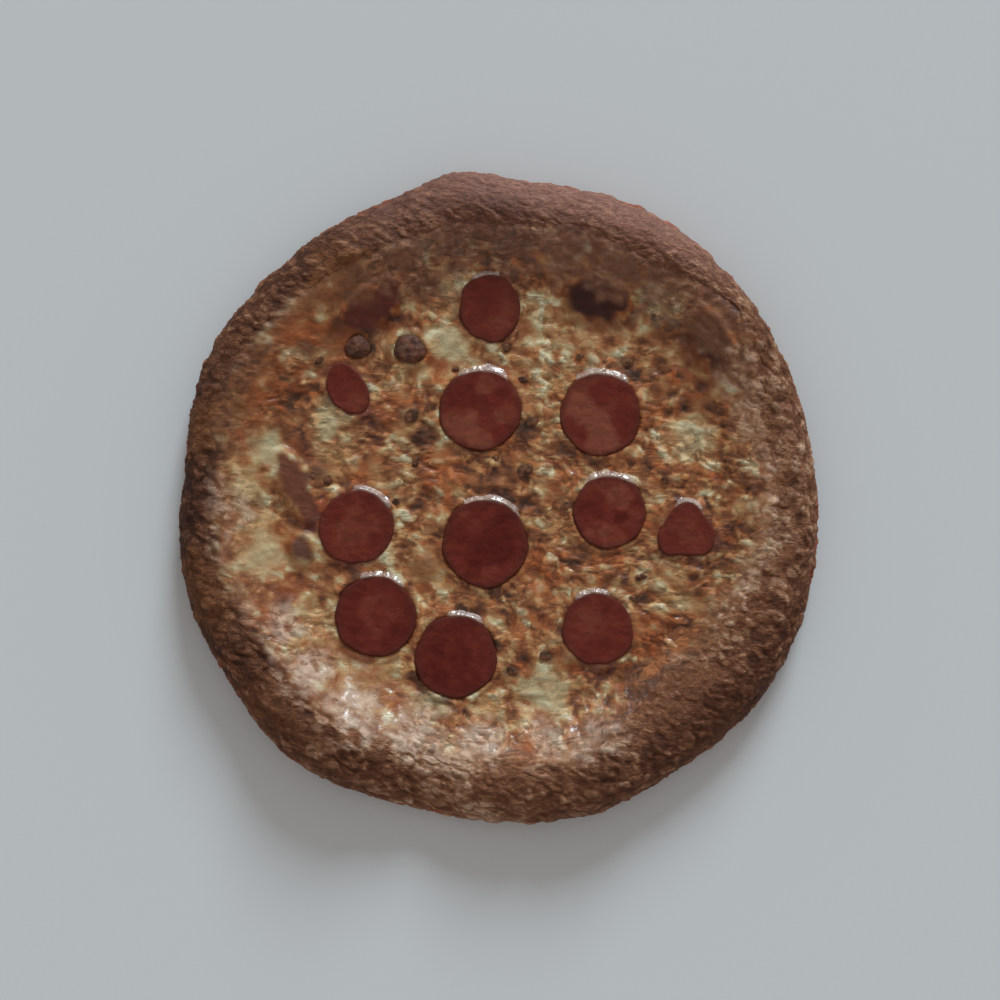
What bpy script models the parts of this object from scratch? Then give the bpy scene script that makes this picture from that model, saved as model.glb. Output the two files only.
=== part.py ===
"""Whole round pepperoni pizza, 30 cm across, with a puffed rim.

Metres, +Z up. The origin is under the middle of the pizza, on the surface it lies on, and +Y
points to the side that is at the top when the pizza is seen from straight above.

From the bottom up it is built as a real one is: a baked crust with a raised rim, a thin layer of
tomato sauce, a layer of melted cheese, and the toppings, which lie in shallow beds in the cheese.
The crust's floor, the sauce and the underside of the cheese share one set of triangles, so each
layer keeps the same small gap to the next one everywhere.
"""

import math

import bpy
import numpy as np
from mathutils import Vector
from mathutils.geometry import delaunay_2d_cdt

MM = 0.001

# Crust
OUTLINE_CENTRE = (-0.12 * MM, -1.72 * MM)
CRUST_RADIUS = 151.0 * MM
FLOOR_THICKNESS = 6.5 * MM
RIM_HEIGHT = 24.0 * MM
CREST_INSET = 19.0 * MM
INNER_SLOPE_WIDTH = 36.0 * MM
WIDEST_LEVEL = 5.5 * MM
FOOT_INSET = 6.0 * MM
SAUCE_RECESS = 1.0 * MM
RECESS_LIP_WIDTH = 2.0 * MM

# Layers on the crust
LAYER_GAP = 0.3 * MM
SAUCE_THICKNESS = 1.2 * MM
SAUCE_EDGE_THICKNESS = 0.6 * MM
SAUCE_SHOWS = 1.6 * MM
CHEESE_THICKNESS = 4.4 * MM
CHEESE_EDGE_THICKNESS = 1.0 * MM
CHEESE_INSET = 31.0 * MM
CHEESE_TAPER = 20.0 * MM
CHEESE_EDGE_ROUNDING = 0.9 * MM

# Toppings
SLICE_THICKNESS = 2.3 * MM
BED_DEPTH = 0.9 * MM
BED_CLEARANCE = 0.9 * MM
BED_RING_DISTANCE = 0.85 * MM
RING_ROOM = 1.6 * MM
LIP_HEIGHT = 0.7 * MM
LIP_DISTANCE = 2.6 * MM
LIP_WIDTH = 1.8 * MM
SETTLED_REACH = 7.0 * MM

# How finely the solids are divided
RIM_DIVISIONS = 144
OUTER_WALL_RINGS = 5
INNER_WALL_RINGS = 3
FLOOR_SPACING = 15.0 * MM
CHEESE_SPACING = 5.4 * MM
SLICE_DIVISIONS = 24
CRUMB_DIVISIONS = 10
NOISE_SEED = 7

# Swellings and dents round the pizza: (bearing in degrees, size in mm, half-width in degrees).
OUTLINE_SWELLS = [
    (60, 2.6, 18), (97, 5.2, 7), (150, 1.9, 12), (200, 1.9, 12), (230, 4.7, 14),
    (286, 2.8, 12), (326, 3.8, 22), (12, -1.4, 16), (174, -2.8, 8), (256, -1.4, 8),
]
RIM_SWELLS = [
    (90, 2.5, 34), (55, 1.5, 14), (232, 5.0, 15), (256, -4.5, 9), (288, 3.5, 14),
    (20, -1.0, 18), (165, -1.5, 20), (330, 1.5, 18),
]
CREST_SHIFTS = [(235, 4.0, 24), (290, 4.5, 30), (165, -4.5, 36), (37, -9.5, 20), (5, -2.0, 14)]
CHEESE_SHIFTS = [
    (37, -14.5, 15), (75, -4.0, 8), (5, -3.0, 10), (92, 2.0, 12), (165, -11.0, 34),
    (240, 5.0, 18), (270, 6.0, 10), (312, 15.0, 20), (335, 5.0, 12),
]
SAUCE_SHIFTS = [(125, 1.6, 12), (265, 1.6, 12), (345, 1.0, 12), (310, 2.0, 14)]

# Toppings: (name, x, y, half-length, half-width in mm, turn in degrees, how three-cornered).
SLICES = [
    ("pepperoni_01", -4.0, 88.6, 16.0, 14.6, 90, 0.00),
    ("pepperoni_02", -58.5, 89.5, 15.5, 7.4, 36, 0.02),
    ("pepperoni_03", 46.3, 93.0, 14.6, 9.6, -8, 0.03),
    ("pepperoni_04", 99.4, 72.4, 16.4, 7.4, 112, 0.00),
    ("pepperoni_05", -8.7, 40.7, 19.3, 19.0, 0, 0.00),
    ("pepperoni_06", 47.7, 38.8, 19.3, 19.3, 0, 0.00),
    ("pepperoni_07", -70.7, 50.6, 13.2, 9.0, 118, 0.03),
    ("pepperoni_08", -66.5, -13.9, 17.9, 17.4, 20, 0.01),
    ("pepperoni_09", -6.3, -21.4, 20.7, 20.2, 90, 0.00),
    ("pepperoni_10", 51.9, -6.8, 17.4, 16.9, 90, 0.00),
    ("pepperoni_11", 88.1, -16.2, 13.2, 12.6, 0, 0.13),
    ("pepperoni_12", -57.6, -55.7, 19.3, 19.0, 40, 0.01),
    ("pepperoni_13", -20.0, -74.5, 19.8, 19.3, 90, 0.01),
    ("pepperoni_14", 46.3, -61.8, 17.2, 16.8, 150, 0.02),
    ("pepperoni_15", -95.2, 5.6, 17.0, 5.4, -65, 0.00),
]
CRUMBS = [
    ("meat_crumb_01", -66.0, 70.6, 6.2, 5.6, 20, 0.06),
    ("meat_crumb_02", -41.6, 69.3, 7.6, 6.9, -15, 0.05),
    ("meat_crumb_03", -92.0, -23.3, 5.0, 4.4, 80, 0.04),
]

# Material colours as linear red, green, blue, with roughness.
CRUST_LOOK = ((0.30, 0.15, 0.075), 0.75)
SAUCE_LOOK = ((0.36, 0.07, 0.02), 0.35)
CHEESE_LOOK = ((0.62, 0.44, 0.20), 0.40)
SLICE_LOOK = ((0.19, 0.030, 0.020), 0.38)
CRUMB_LOOK = ((0.075, 0.035, 0.022), 0.60)


def bumps(bearing, swells):
    """Sum of smooth swellings: size * exp(-(angle away / half-width)^2), round the circle."""
    total = np.zeros_like(np.asarray(bearing, float))
    for centre, size, half_width in swells:
        away = (np.degrees(bearing) - centre + 180.0) % 360.0 - 180.0
        total += size * MM * np.exp(-((away / half_width) ** 2))
    return total


def smooth_step(share):
    """0 below 0, 1 above 1, and the cubic 3s^2 - 2s^3 in between."""
    share = np.clip(share, 0.0, 1.0)
    return share * share * (3.0 - 2.0 * share)


def scrambled(ix, iy, iz, seed):
    """A whole number from 0 to 65535 for each cell corner, by integer mixing."""
    mixed = (ix * 374761393 + iy * 668265263 + iz * 974634777 + seed * 1274126177) & 0xFFFFFFFF
    mixed = ((mixed ^ (mixed >> 13)) * 1103515245) & 0xFFFFFFFF
    return (mixed ^ (mixed >> 16)) & 0xFFFF


def noise(points, cell, seed):
    """Gradient noise of about -1 to 1: each corner of a grid of cells has a random slope, and
    the eight slopes round a point are blended with 6t^5 - 15t^4 + 10t^3."""
    scaled = np.asarray(points, float) / cell
    low = np.floor(scaled).astype(np.int64)
    part = scaled - low
    blend = part**3 * (part * (part * 6.0 - 15.0) + 10.0)
    total = np.zeros(len(scaled))
    for corner in range(8):
        step = np.array([corner & 1, corner >> 1 & 1, corner >> 2 & 1])
        cells = (low + step).T
        slopes = [scrambled(*cells, seed + 31 * axis) / 32767.5 - 1.0 for axis in range(3)]
        toward = (part - step).T
        weight = np.prod(np.where(step, blend, 1.0 - blend), axis=1)
        total += weight * sum(slope * away for slope, away in zip(slopes, toward))
    return total * 1.6


def bearing_and_radius(x, y):
    """Bearing and distance of points from the middle of the outline."""
    dx, dy = x - OUTLINE_CENTRE[0], y - OUTLINE_CENTRE[1]
    return np.arctan2(dy, dx), np.hypot(dx, dy)


def at_bearing(bearing, radius):
    """The points at those bearings and distances from the middle of the outline."""
    x = OUTLINE_CENTRE[0] + radius * np.cos(bearing)
    y = OUTLINE_CENTRE[1] + radius * np.sin(bearing)
    return x, y


def outline_radius(bearing):
    """Outer radius of the crust, with its swellings and small crags."""
    round_points = np.stack([np.cos(bearing), np.sin(bearing), 0 * bearing], 1) * CRUST_RADIUS
    crags = 0.55 * MM * noise(round_points, 11 * MM, NOISE_SEED)
    return CRUST_RADIUS + bumps(bearing, OUTLINE_SWELLS) + crags


def crest_inset(bearing):
    return CREST_INSET + bumps(bearing, CREST_SHIFTS)


def rim_height(bearing):
    return RIM_HEIGHT + bumps(bearing, RIM_SWELLS)


def cheese_inset(bearing):
    """Distance of the cheese's edge from the crust's outline, with its runs and tongues."""
    round_points = np.stack([np.cos(bearing), np.sin(bearing), 0 * bearing], 1) * CRUST_RADIUS
    runs = 1.6 * MM * noise(round_points, 17 * MM, NOISE_SEED + 1)
    return CHEESE_INSET + bumps(bearing, CHEESE_SHIFTS) + runs


def sauce_inset(bearing):
    return cheese_inset(bearing) - SAUCE_SHOWS - bumps(bearing, SAUCE_SHIFTS)


def flat(x, y):
    return np.stack([x, y, np.zeros_like(x)], 1)


def crust_level(x, y):
    """Height of the crust's top inside its crest: a floor, then a slope that rises to the crest
    as half a cosine wave, less the shallow recess that the sauce fills, with low lumps."""
    bearing, radius = bearing_and_radius(x, y)
    inset = outline_radius(bearing) - radius
    down = np.clip((inset - crest_inset(bearing)) / INNER_SLOPE_WIDTH, 0.0, 1.0)
    rise = (rim_height(bearing) - FLOOR_THICKNESS) * 0.5 * (1.0 + np.cos(math.pi * down))
    sunk = smooth_step(1.0 + (inset - sauce_inset(bearing)) / RECESS_LIP_WIDTH)
    lumps = 0.9 * MM * noise(flat(x, y), 26 * MM, NOISE_SEED + 2)
    return FLOOR_THICKNESS + rise - SAUCE_RECESS * sunk + lumps * (1.0 - 0.6 * down)


def sauce_level(x, y):
    """Height of the sauce's top: thin at its edge and full 10 mm further in."""
    bearing, radius = bearing_and_radius(x, y)
    inset = outline_radius(bearing) - radius
    inward = smooth_step((inset - sauce_inset(bearing)) / (10 * MM))
    thick = SAUCE_EDGE_THICKNESS + (SAUCE_THICKNESS - SAUCE_EDGE_THICKNESS) * inward
    return crust_level(x, y) + LAYER_GAP + thick


def smooth_cheese_level(x, y):
    """Height of the cheese's top without lumps or toppings."""
    bearing, radius = bearing_and_radius(x, y)
    inset = outline_radius(bearing) - radius
    inward = smooth_step((inset - cheese_inset(bearing)) / CHEESE_TAPER)
    thick = CHEESE_EDGE_THICKNESS + (CHEESE_THICKNESS - CHEESE_EDGE_THICKNESS) * inward
    return sauce_level(x, y) + LAYER_GAP + thick


def topping_reach(topping, bearing):
    """Distance from a topping's middle to its edge: an ellipse, three-cornered a little, with a
    slow wobble that differs from one topping to the next."""
    name, _, _, half_length, half_width, turn, corners = topping
    own = bearing - math.radians(turn)
    ellipse = 1.0 / np.hypot(np.cos(own) / half_length, np.sin(own) / half_width)
    phase = 1.7 * int(name[-2:])
    wobble = 0.012 * np.sin(5 * bearing + phase) + 0.014 * np.sin(2 * bearing + 2.3 * phase)
    three = corners * np.cos(3 * (bearing - math.pi / 2))
    return ellipse * MM * (1.0 + wobble + three)


def edge_stretch(topping, bearing):
    """How much further one goes along a bearing than straight out from a topping's edge."""
    step = 0.01
    change = topping_reach(topping, bearing + step) - topping_reach(topping, bearing - step)
    return np.hypot(1.0, change / (2 * step) / topping_reach(topping, bearing))


def beyond_edge(topping, x, y):
    """Distance of points outside a topping's edge, negative inside it."""
    dx, dy = x - topping[1] * MM, y - topping[2] * MM
    bearing = np.arctan2(dy, dx)
    outward = np.hypot(dx, dy) - topping_reach(topping, bearing)
    return outward / edge_stretch(topping, bearing)


def bed_plane(topping):
    """The plane that a topping lies on: (height at its middle, slope along X, slope along Y),
    fitted to the smooth cheese under its edge."""
    bearings = np.linspace(0, 2 * math.pi, 24, endpoint=False)
    reach = topping_reach(topping, bearings)
    x, y = reach * np.cos(bearings), reach * np.sin(bearings)
    level = smooth_cheese_level(x + topping[1] * MM, y + topping[2] * MM)
    fitted = np.linalg.lstsq(np.stack([np.ones_like(x), x, y], 1), level, rcond=None)[0]
    return fitted[0] - BED_DEPTH, fitted[1], fitted[2]


def cheese_level(x, y):
    """Height of the cheese's top: lumps and strands, a flat bed under each topping, and a low
    lip where the melted cheese rises against the topping's edge."""
    points = flat(x, y)
    bearing, radius = bearing_and_radius(x, y)
    from_edge = outline_radius(bearing) - radius - cheese_inset(bearing)
    lumps = 1.1 * MM * noise(points, 15 * MM, NOISE_SEED + 3)
    lumps += 0.8 * MM * noise(points, 7 * MM, NOISE_SEED + 4)
    level = smooth_cheese_level(x, y) + lumps * smooth_step(from_edge / (14 * MM))
    for topping in SLICES + CRUMBS:
        beyond = beyond_edge(topping, x, y)
        near = np.exp(-((np.clip(beyond, 0, None) / SETTLED_REACH) ** 2))
        level += near * 0.7 * (smooth_cheese_level(x, y) - level)
        level += LIP_HEIGHT * np.exp(-(((beyond - LIP_DISTANCE) / LIP_WIDTH) ** 2))
    for topping in SLICES + CRUMBS:
        height, slope_x, slope_y = bed_plane(topping)
        bed = height + slope_x * (x - topping[1] * MM) + slope_y * (y - topping[2] * MM)
        outward = (beyond_edge(topping, x, y) - BED_CLEARANCE) / (LIP_DISTANCE - BED_CLEARANCE)
        level = bed + smooth_step(outward) * (level - bed)
    return level


def ring(inset):
    """A closed ring of points at that distance in from the outline, one for each bearing."""
    bearings = np.linspace(0, 2 * math.pi, RIM_DIVISIONS, endpoint=False)
    return at_bearing(bearings, outline_radius(bearings) - inset(bearings))


def lattice(spacing, reach):
    """Points of a triangular lattice that covers a disc of that reach."""
    rows = int(2 * reach / (spacing * math.sqrt(0.75))) + 1
    columns = int(2 * reach / spacing) + 2
    row, column = np.meshgrid(np.arange(rows), np.arange(columns), indexing="ij")
    x = (column + 0.5 * (row % 2) - columns / 2) * spacing
    y = (row - rows / 2) * spacing * math.sqrt(0.75)
    return x.ravel(), y.ravel()


def triangulated(outline, extra):
    """Delaunay triangles between an outline ring, which comes first, and the points inside it.
    Triangles that bridge a bay of the outline from outside are left out: their middle lies on
    the outer side of the outline's edge at that bearing."""
    x, y = np.concatenate([outline[0], extra[0]]), np.concatenate([outline[1], extra[1]])
    found = delaunay_2d_cdt([Vector(p) for p in zip(x, y)], [], [], 0, 1e-7, True)
    source = np.array([origin[0] for origin in found[3]])
    triangles = source[np.array(found[2])]
    middle_x, middle_y = x[triangles].mean(1), y[triangles].mean(1)
    bearing, _ = bearing_and_radius(middle_x, middle_y)
    start = np.floor(bearing / (2 * math.pi) * RIM_DIVISIONS).astype(int) % RIM_DIVISIONS
    end = (start + 1) % RIM_DIVISIONS
    across_x, across_y = x[end] - x[start], y[end] - y[start]
    inner_side = across_x * (middle_y - y[start]) - across_y * (middle_x - x[start]) > 0
    return x, y, [tuple(int(i) for i in triangle) for triangle in triangles[inner_side]]


def strip(first_a, first_b, count):
    """Triangles between two rings of the same count, b outside a, seen from above."""
    faces = []
    for i in range(count):
        j = (i + 1) % count
        faces.append((first_a + i, first_b + i, first_b + j))
        faces.append((first_a + i, first_b + j, first_a + j))
    return faces


def inner_floor():
    """The plan of triangles that the crust's floor, the sauce and the cheese's underside share.
    Its outline is the cheese's edge."""
    edge = ring(cheese_inset)
    extra = inside_cheese(*lattice(FLOOR_SPACING, CRUST_RADIUS), 0.55 * FLOOR_SPACING)
    return triangulated(edge, extra)


def lifted(x, y, level):
    return np.stack([x, y, level(x, y)], 1)


def material(name, look):
    colour, roughness = look
    made = bpy.data.materials.new(name)
    made.use_nodes = True
    shader = made.node_tree.nodes["Principled BSDF"]
    shader.inputs["Base Color"].default_value = (*colour, 1.0)
    shader.inputs["Roughness"].default_value = roughness
    shader.inputs["Metallic"].default_value = 0.0
    made.diffuse_color = (*colour, 1.0)
    return made


def placed_object(name, vertices, faces, look_material):
    """A named object from one closed set of faces, shaded smooth."""
    mesh = bpy.data.meshes.new(name)
    mesh.from_pydata([tuple(v) for v in vertices], [], faces)
    mesh.validate()
    mesh.materials.append(look_material)
    mesh.shade_smooth()
    made = bpy.data.objects.new(name, mesh)
    bpy.context.scene.collection.objects.link(made)
    return made


def outer_rings():
    """The crust's rings from the recess's lip, up to the crest, over the wall and down to the
    foot, as a list of (x, y, z). The wall is a quarter of a swollen ellipse, and the foot turns
    in below it. Crags grow towards the wall's middle and vanish at the flat underside."""
    bearings = np.linspace(0, 2 * math.pi, RIM_DIVISIONS, endpoint=False)
    outline = outline_radius(bearings)
    crest, height = crest_inset(bearings), rim_height(bearings)
    lip = sauce_inset(bearings) - RECESS_LIP_WIDTH
    rings = []
    for share in np.linspace(0, 1, INNER_WALL_RINGS, endpoint=False):
        x, y = at_bearing(bearings, outline - (lip + (crest - lip) * share))
        rings.append([x, y, crust_level(x, y)])
    for turn in np.linspace(0, math.pi / 2, OUTER_WALL_RINGS + 1):
        outward = crest * (1.0 - math.sin(turn))
        x, y = at_bearing(bearings, outline - outward)
        level = WIDEST_LEVEL + (height - WIDEST_LEVEL) * math.cos(turn) ** 0.85
        rings.append([x, y, level])
    for turn in (math.pi / 5, math.pi / 2):
        x, y = at_bearing(bearings, outline - FOOT_INSET * (1.0 - math.cos(turn)))
        rings.append([x, y, np.full_like(x, WIDEST_LEVEL * (1.0 - math.sin(turn)))])
    for index, (x, y, z) in enumerate(rings[:-1]):
        crags = noise(np.stack([x, y, z], 1), 13 * MM, NOISE_SEED + 5) * 1.3 * MM
        crags += noise(np.stack([x, y, z], 1), 30 * MM, NOISE_SEED + 6) * 1.4 * MM
        if index < INNER_WALL_RINGS:
            rings[index][2] = z + crags * index / INNER_WALL_RINGS
            continue
        off_the_foot = np.clip(z / (14 * MM), 0.0, 1.0)
        pushed = 1.0 * MM * noise(np.stack([x, y, z], 1), 9 * MM, NOISE_SEED + 7) * off_the_foot
        rings[index][0] = x + pushed * np.cos(bearings)
        rings[index][1] = y + pushed * np.sin(bearings)
        rings[index][2] = z + crags * off_the_foot
    return rings


def make_crust(floor):
    """Floor, sauce recess, rim, wall, foot and flat underside as one closed solid."""
    x, y, faces = floor
    faces = list(faces)
    vertices = [lifted(x, y, crust_level)]
    count = len(x)
    previous = 0
    edge = ring(sauce_inset)
    rings = [[*edge, crust_level(*edge)]] + outer_rings()
    for ring_x, ring_y, ring_z in rings:
        vertices.append(np.stack([ring_x, ring_y, ring_z], 1))
        faces += strip(previous, count, RIM_DIVISIONS)
        previous = count
        count += RIM_DIVISIONS
    faces.append(tuple(reversed(range(previous, previous + RIM_DIVISIONS))))
    look = material("baked_crust", CRUST_LOOK)
    return placed_object("crust", np.concatenate(vertices), faces, look)


def make_sauce(floor):
    """A thin layer on the crust that reaches a little past the cheese's edge."""
    x, y, inner = floor
    edge_x, edge_y = ring(sauce_inset)
    all_x, all_y = np.concatenate([x, edge_x]), np.concatenate([y, edge_y])
    sheet = list(inner) + strip(0, len(x), RIM_DIVISIONS)
    top = lifted(all_x, all_y, sauce_level)
    bottom = lifted(all_x, all_y, crust_level)
    bottom[:, 2] += LAYER_GAP
    count = len(all_x)
    faces = sheet + [tuple(count + i for i in reversed(face)) for face in sheet]
    faces += strip(len(x), count + len(x), RIM_DIVISIONS)
    look = material("tomato_sauce", SAUCE_LOOK)
    return placed_object("sauce", np.concatenate([top, bottom]), faces, look)


def topping_ring(topping, outward, divisions):
    """Points that distance outside a topping's edge, closer together round its narrow ends."""
    turns = np.linspace(0, 2 * math.pi, divisions, endpoint=False)
    own = np.arctan2(topping[4] * np.sin(turns), topping[3] * np.cos(turns))
    bearing = own + math.radians(topping[5])
    reach = topping_reach(topping, bearing) + outward * edge_stretch(topping, bearing)
    return topping[1] * MM + reach * np.cos(bearing), topping[2] * MM + reach * np.sin(bearing)


def clear_of_toppings(x, y, outward):
    """Which points lie at least that far outside every topping's edge."""
    clear = np.ones(len(x), bool)
    for topping in SLICES + CRUMBS:
        clear &= beyond_edge(topping, x, y) > outward
    return clear


def inside_cheese(x, y, room):
    """The points that lie at least that far inside the cheese's edge."""
    bearing, radius = bearing_and_radius(x, y)
    kept = outline_radius(bearing) - cheese_inset(bearing) - radius > room
    return x[kept], y[kept]


def cheese_top_plan():
    """The plan of the cheese's upper face: rings round each bed and its lip, and a lattice."""
    bearings = np.linspace(0, 2 * math.pi, RIM_DIVISIONS, endpoint=False)
    edge_radius = outline_radius(bearings) - cheese_inset(bearings)
    edge = at_bearing(bearings, edge_radius - CHEESE_EDGE_ROUNDING)
    extra_x, extra_y = [], []
    for topping in SLICES + CRUMBS:
        divisions = SLICE_DIVISIONS if topping in SLICES else CRUMB_DIVISIONS
        for distance in (BED_RING_DISTANCE, LIP_DISTANCE):
            ring_x, ring_y = topping_ring(topping, distance, divisions)
            kept = clear_of_toppings(ring_x, ring_y, 0.8 * distance)
            extra_x.append(ring_x[kept])
            extra_y.append(ring_y[kept])
    ring_x, ring_y = inside_cheese(np.concatenate(extra_x), np.concatenate(extra_y), RING_ROOM)
    x, y = inside_cheese(*lattice(CHEESE_SPACING, CRUST_RADIUS), 0.6 * CHEESE_SPACING)
    free = clear_of_toppings(x, y, LIP_DISTANCE + 0.45 * CHEESE_SPACING)
    return triangulated(edge, (np.append(x[free], ring_x), np.append(y[free], ring_y)))


def make_cheese(floor):
    """The melted cheese: its underside follows the sauce, and its top has the toppings' beds."""
    x, y, inner = floor
    bottom = lifted(x, y, sauce_level)
    bottom[:, 2] += LAYER_GAP
    top_x, top_y, top_faces = cheese_top_plan()
    top = lifted(top_x, top_y, cheese_level)
    count = len(top_x)
    faces = list(top_faces) + [tuple(count + i for i in reversed(face)) for face in inner]
    faces += strip(0, count, RIM_DIVISIONS)
    look = material("melted_cheese", CHEESE_LOOK)
    return placed_object("cheese", np.concatenate([top, bottom]), faces, look)


def disc_rings(topping, profile, divisions):
    """Vertices of a topping: rings of (outward, up) from its underside's edge to near its
    middle, on its bed's plane."""
    height, slope_x, slope_y = bed_plane(topping)
    middle_x, middle_y = topping[1] * MM, topping[2] * MM
    rings = []
    for outward, up in profile:
        x, y = topping_ring(topping, outward, divisions)
        z = height + slope_x * (x - middle_x) + slope_y * (y - middle_y) + up
        rings.append(np.stack([x, y, z], 1))
    return rings, np.array([middle_x, middle_y, height])


def closed_disc(rings, middle, crown, divisions):
    """Closes rings with a flat underside and a crowned top, as (vertices, faces)."""
    faces = [tuple(reversed(range(divisions)))]
    for level in range(len(rings) - 1):
        faces += strip(divisions * (level + 1), divisions * level, divisions)
    last = divisions * (len(rings) - 1)
    centre = divisions * len(rings)
    faces += [(last + i, last + (i + 1) % divisions, centre) for i in range(divisions)]
    return np.concatenate([*rings, [middle + np.array([0.0, 0.0, crown])]]), faces


def make_slice(topping, look):
    """A slice of pepperoni: a thin disc with a rounded edge, a little hollow in the middle."""
    low, high = LAYER_GAP, LAYER_GAP + SLICE_THICKNESS
    profile = [(-0.3 * MM, low), (0.1 * MM, low + 0.5 * SLICE_THICKNESS), (-0.7 * MM, high)]
    rings, middle = disc_rings(topping, profile, SLICE_DIVISIONS)
    vertices, faces = closed_disc(rings, middle, high - 0.35 * MM, SLICE_DIVISIONS)
    return placed_object(topping[0], vertices, faces, look)


def make_crumb(topping, look):
    """A crumb of browned meat: a rough lump that swells above its bed."""
    small = min(topping[3], topping[4]) * MM
    profile = [
        (-0.10 * small, LAYER_GAP), (0.0, LAYER_GAP + 0.25 * small),
        (-0.18 * small, LAYER_GAP + 0.50 * small), (-0.55 * small, LAYER_GAP + 0.66 * small),
    ]
    rings, middle = disc_rings(topping, profile, CRUMB_DIVISIONS)
    for points in rings[1:]:
        points[:, 2] += 0.5 * MM * noise(points, 4 * MM, NOISE_SEED + 8)
    crown = LAYER_GAP + 0.70 * small
    vertices, faces = closed_disc(rings, middle, crown, CRUMB_DIVISIONS)
    return placed_object(topping[0], vertices, faces, look)


def clear_scene():
    for old in list(bpy.data.objects):
        bpy.data.objects.remove(old)


def main():
    clear_scene()
    floor = inner_floor()
    make_crust(floor)
    make_sauce(floor)
    make_cheese(floor)
    slice_look = material("pepperoni", SLICE_LOOK)
    for topping in SLICES:
        make_slice(topping, slice_look)
    crumb_look = material("browned_meat", CRUMB_LOOK)
    for topping in CRUMBS:
        make_crumb(topping, crumb_look)


main()
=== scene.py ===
# %% [markdown]
# # A whole pepperoni pizza
#
# The real thing is four layers: a baked crust with a puffed rim, a thin coat of tomato sauce, a
# sheet of melted cheese, and the toppings that sank into it while it baked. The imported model
# holds the plain solids of those layers. Here each one gets its fine relief and its colours.
# All lengths are in metres, +Z is up, and the pizza lies on the plane z = 0.

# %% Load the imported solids
import math

import bpy
import numpy as np
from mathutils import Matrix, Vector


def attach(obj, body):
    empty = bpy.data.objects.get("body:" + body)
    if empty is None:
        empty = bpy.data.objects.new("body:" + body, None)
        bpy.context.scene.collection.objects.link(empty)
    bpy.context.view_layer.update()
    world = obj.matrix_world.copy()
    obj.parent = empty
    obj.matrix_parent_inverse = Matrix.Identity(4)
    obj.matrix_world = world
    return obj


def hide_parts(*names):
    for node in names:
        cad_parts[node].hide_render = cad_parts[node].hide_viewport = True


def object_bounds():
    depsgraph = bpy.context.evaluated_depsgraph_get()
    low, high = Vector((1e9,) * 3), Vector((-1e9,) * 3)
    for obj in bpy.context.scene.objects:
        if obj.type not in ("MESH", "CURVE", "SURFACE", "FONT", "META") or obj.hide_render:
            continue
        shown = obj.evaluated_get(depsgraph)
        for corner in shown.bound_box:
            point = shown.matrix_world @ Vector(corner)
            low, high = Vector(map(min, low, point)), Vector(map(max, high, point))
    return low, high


MM = 0.001
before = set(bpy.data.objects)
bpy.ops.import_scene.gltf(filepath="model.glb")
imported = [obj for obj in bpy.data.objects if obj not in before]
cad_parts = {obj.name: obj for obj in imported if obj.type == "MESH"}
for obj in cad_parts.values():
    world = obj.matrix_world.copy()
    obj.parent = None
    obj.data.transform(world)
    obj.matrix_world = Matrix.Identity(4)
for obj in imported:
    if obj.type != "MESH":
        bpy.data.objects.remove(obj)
solid_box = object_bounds()
print("solids in the frame:", len(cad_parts))

# %% [markdown]
# ## The sizes of the plain solids
#
# Every layer is a height above the table, worked out from its distance to the crust's outline.
# Writing the forms as formulas, not as meshes, lets us sample them as finely as we like. These
# values and formulas are the ones that the solids were made from.

# %% Driving sizes of the crust, the layers and the toppings
OUTLINE_CENTRE = (-0.12 * MM, -1.72 * MM)
CRUST_RADIUS = 151.0 * MM
FLOOR_THICKNESS = 6.5 * MM
RIM_HEIGHT = 24.0 * MM
CREST_INSET = 19.0 * MM
WALL_SWELL = 0.85
INNER_SLOPE_WIDTH = 36.0 * MM
WIDEST_LEVEL = 5.5 * MM
FOOT_INSET = 6.0 * MM
SAUCE_RECESS = 1.0 * MM
RECESS_LIP_WIDTH = 2.0 * MM
LAYER_GAP = 0.3 * MM
SAUCE_THICKNESS = 1.2 * MM
SAUCE_EDGE_THICKNESS = 0.6 * MM
SAUCE_SHOWS = 1.6 * MM
SAUCE_TAPER = 10.0 * MM
CHEESE_THICKNESS = 4.4 * MM
CHEESE_EDGE_THICKNESS = 1.0 * MM
CHEESE_INSET = 31.0 * MM
CHEESE_TAPER = 20.0 * MM
SLICE_THICKNESS = 2.3 * MM
BED_DEPTH = 0.9 * MM
LIP_HEIGHT = 1.0 * MM
LIP_WIDTH = 1.8 * MM
SETTLED_REACH = 7.0 * MM
NOISE_SEED = 7

# Swellings and dents round the pizza: (bearing in degrees, size in mm, half-width in degrees).
OUTLINE_SWELLS = [
    (60, 2.6, 18), (97, 5.2, 7), (150, 1.9, 12), (200, 1.9, 12), (230, 4.7, 14),
    (286, 2.8, 12), (326, 3.8, 22), (12, -1.4, 16), (174, -2.8, 8), (256, -1.4, 8),
]
RIM_SWELLS = [
    (90, 2.5, 34), (55, 1.5, 14), (232, 5.0, 15), (256, -4.5, 9), (288, 3.5, 14),
    (20, -1.0, 18), (165, -1.5, 20), (330, 1.5, 18),
]
CREST_SHIFTS = [(235, 4.0, 24), (290, 4.5, 30), (165, -4.5, 36), (37, -9.5, 20), (5, -2.0, 14)]
CHEESE_SHIFTS = [
    (37, -14.5, 15), (75, -4.0, 8), (5, -3.0, 10), (92, 2.0, 12), (165, -11.0, 34),
    (240, 5.0, 18), (270, 6.0, 10), (312, 15.0, 20), (335, 5.0, 12),
]
SAUCE_SHIFTS = [(125, 1.6, 12), (265, 1.6, 12), (345, 1.0, 12), (310, 2.0, 14)]

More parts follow.
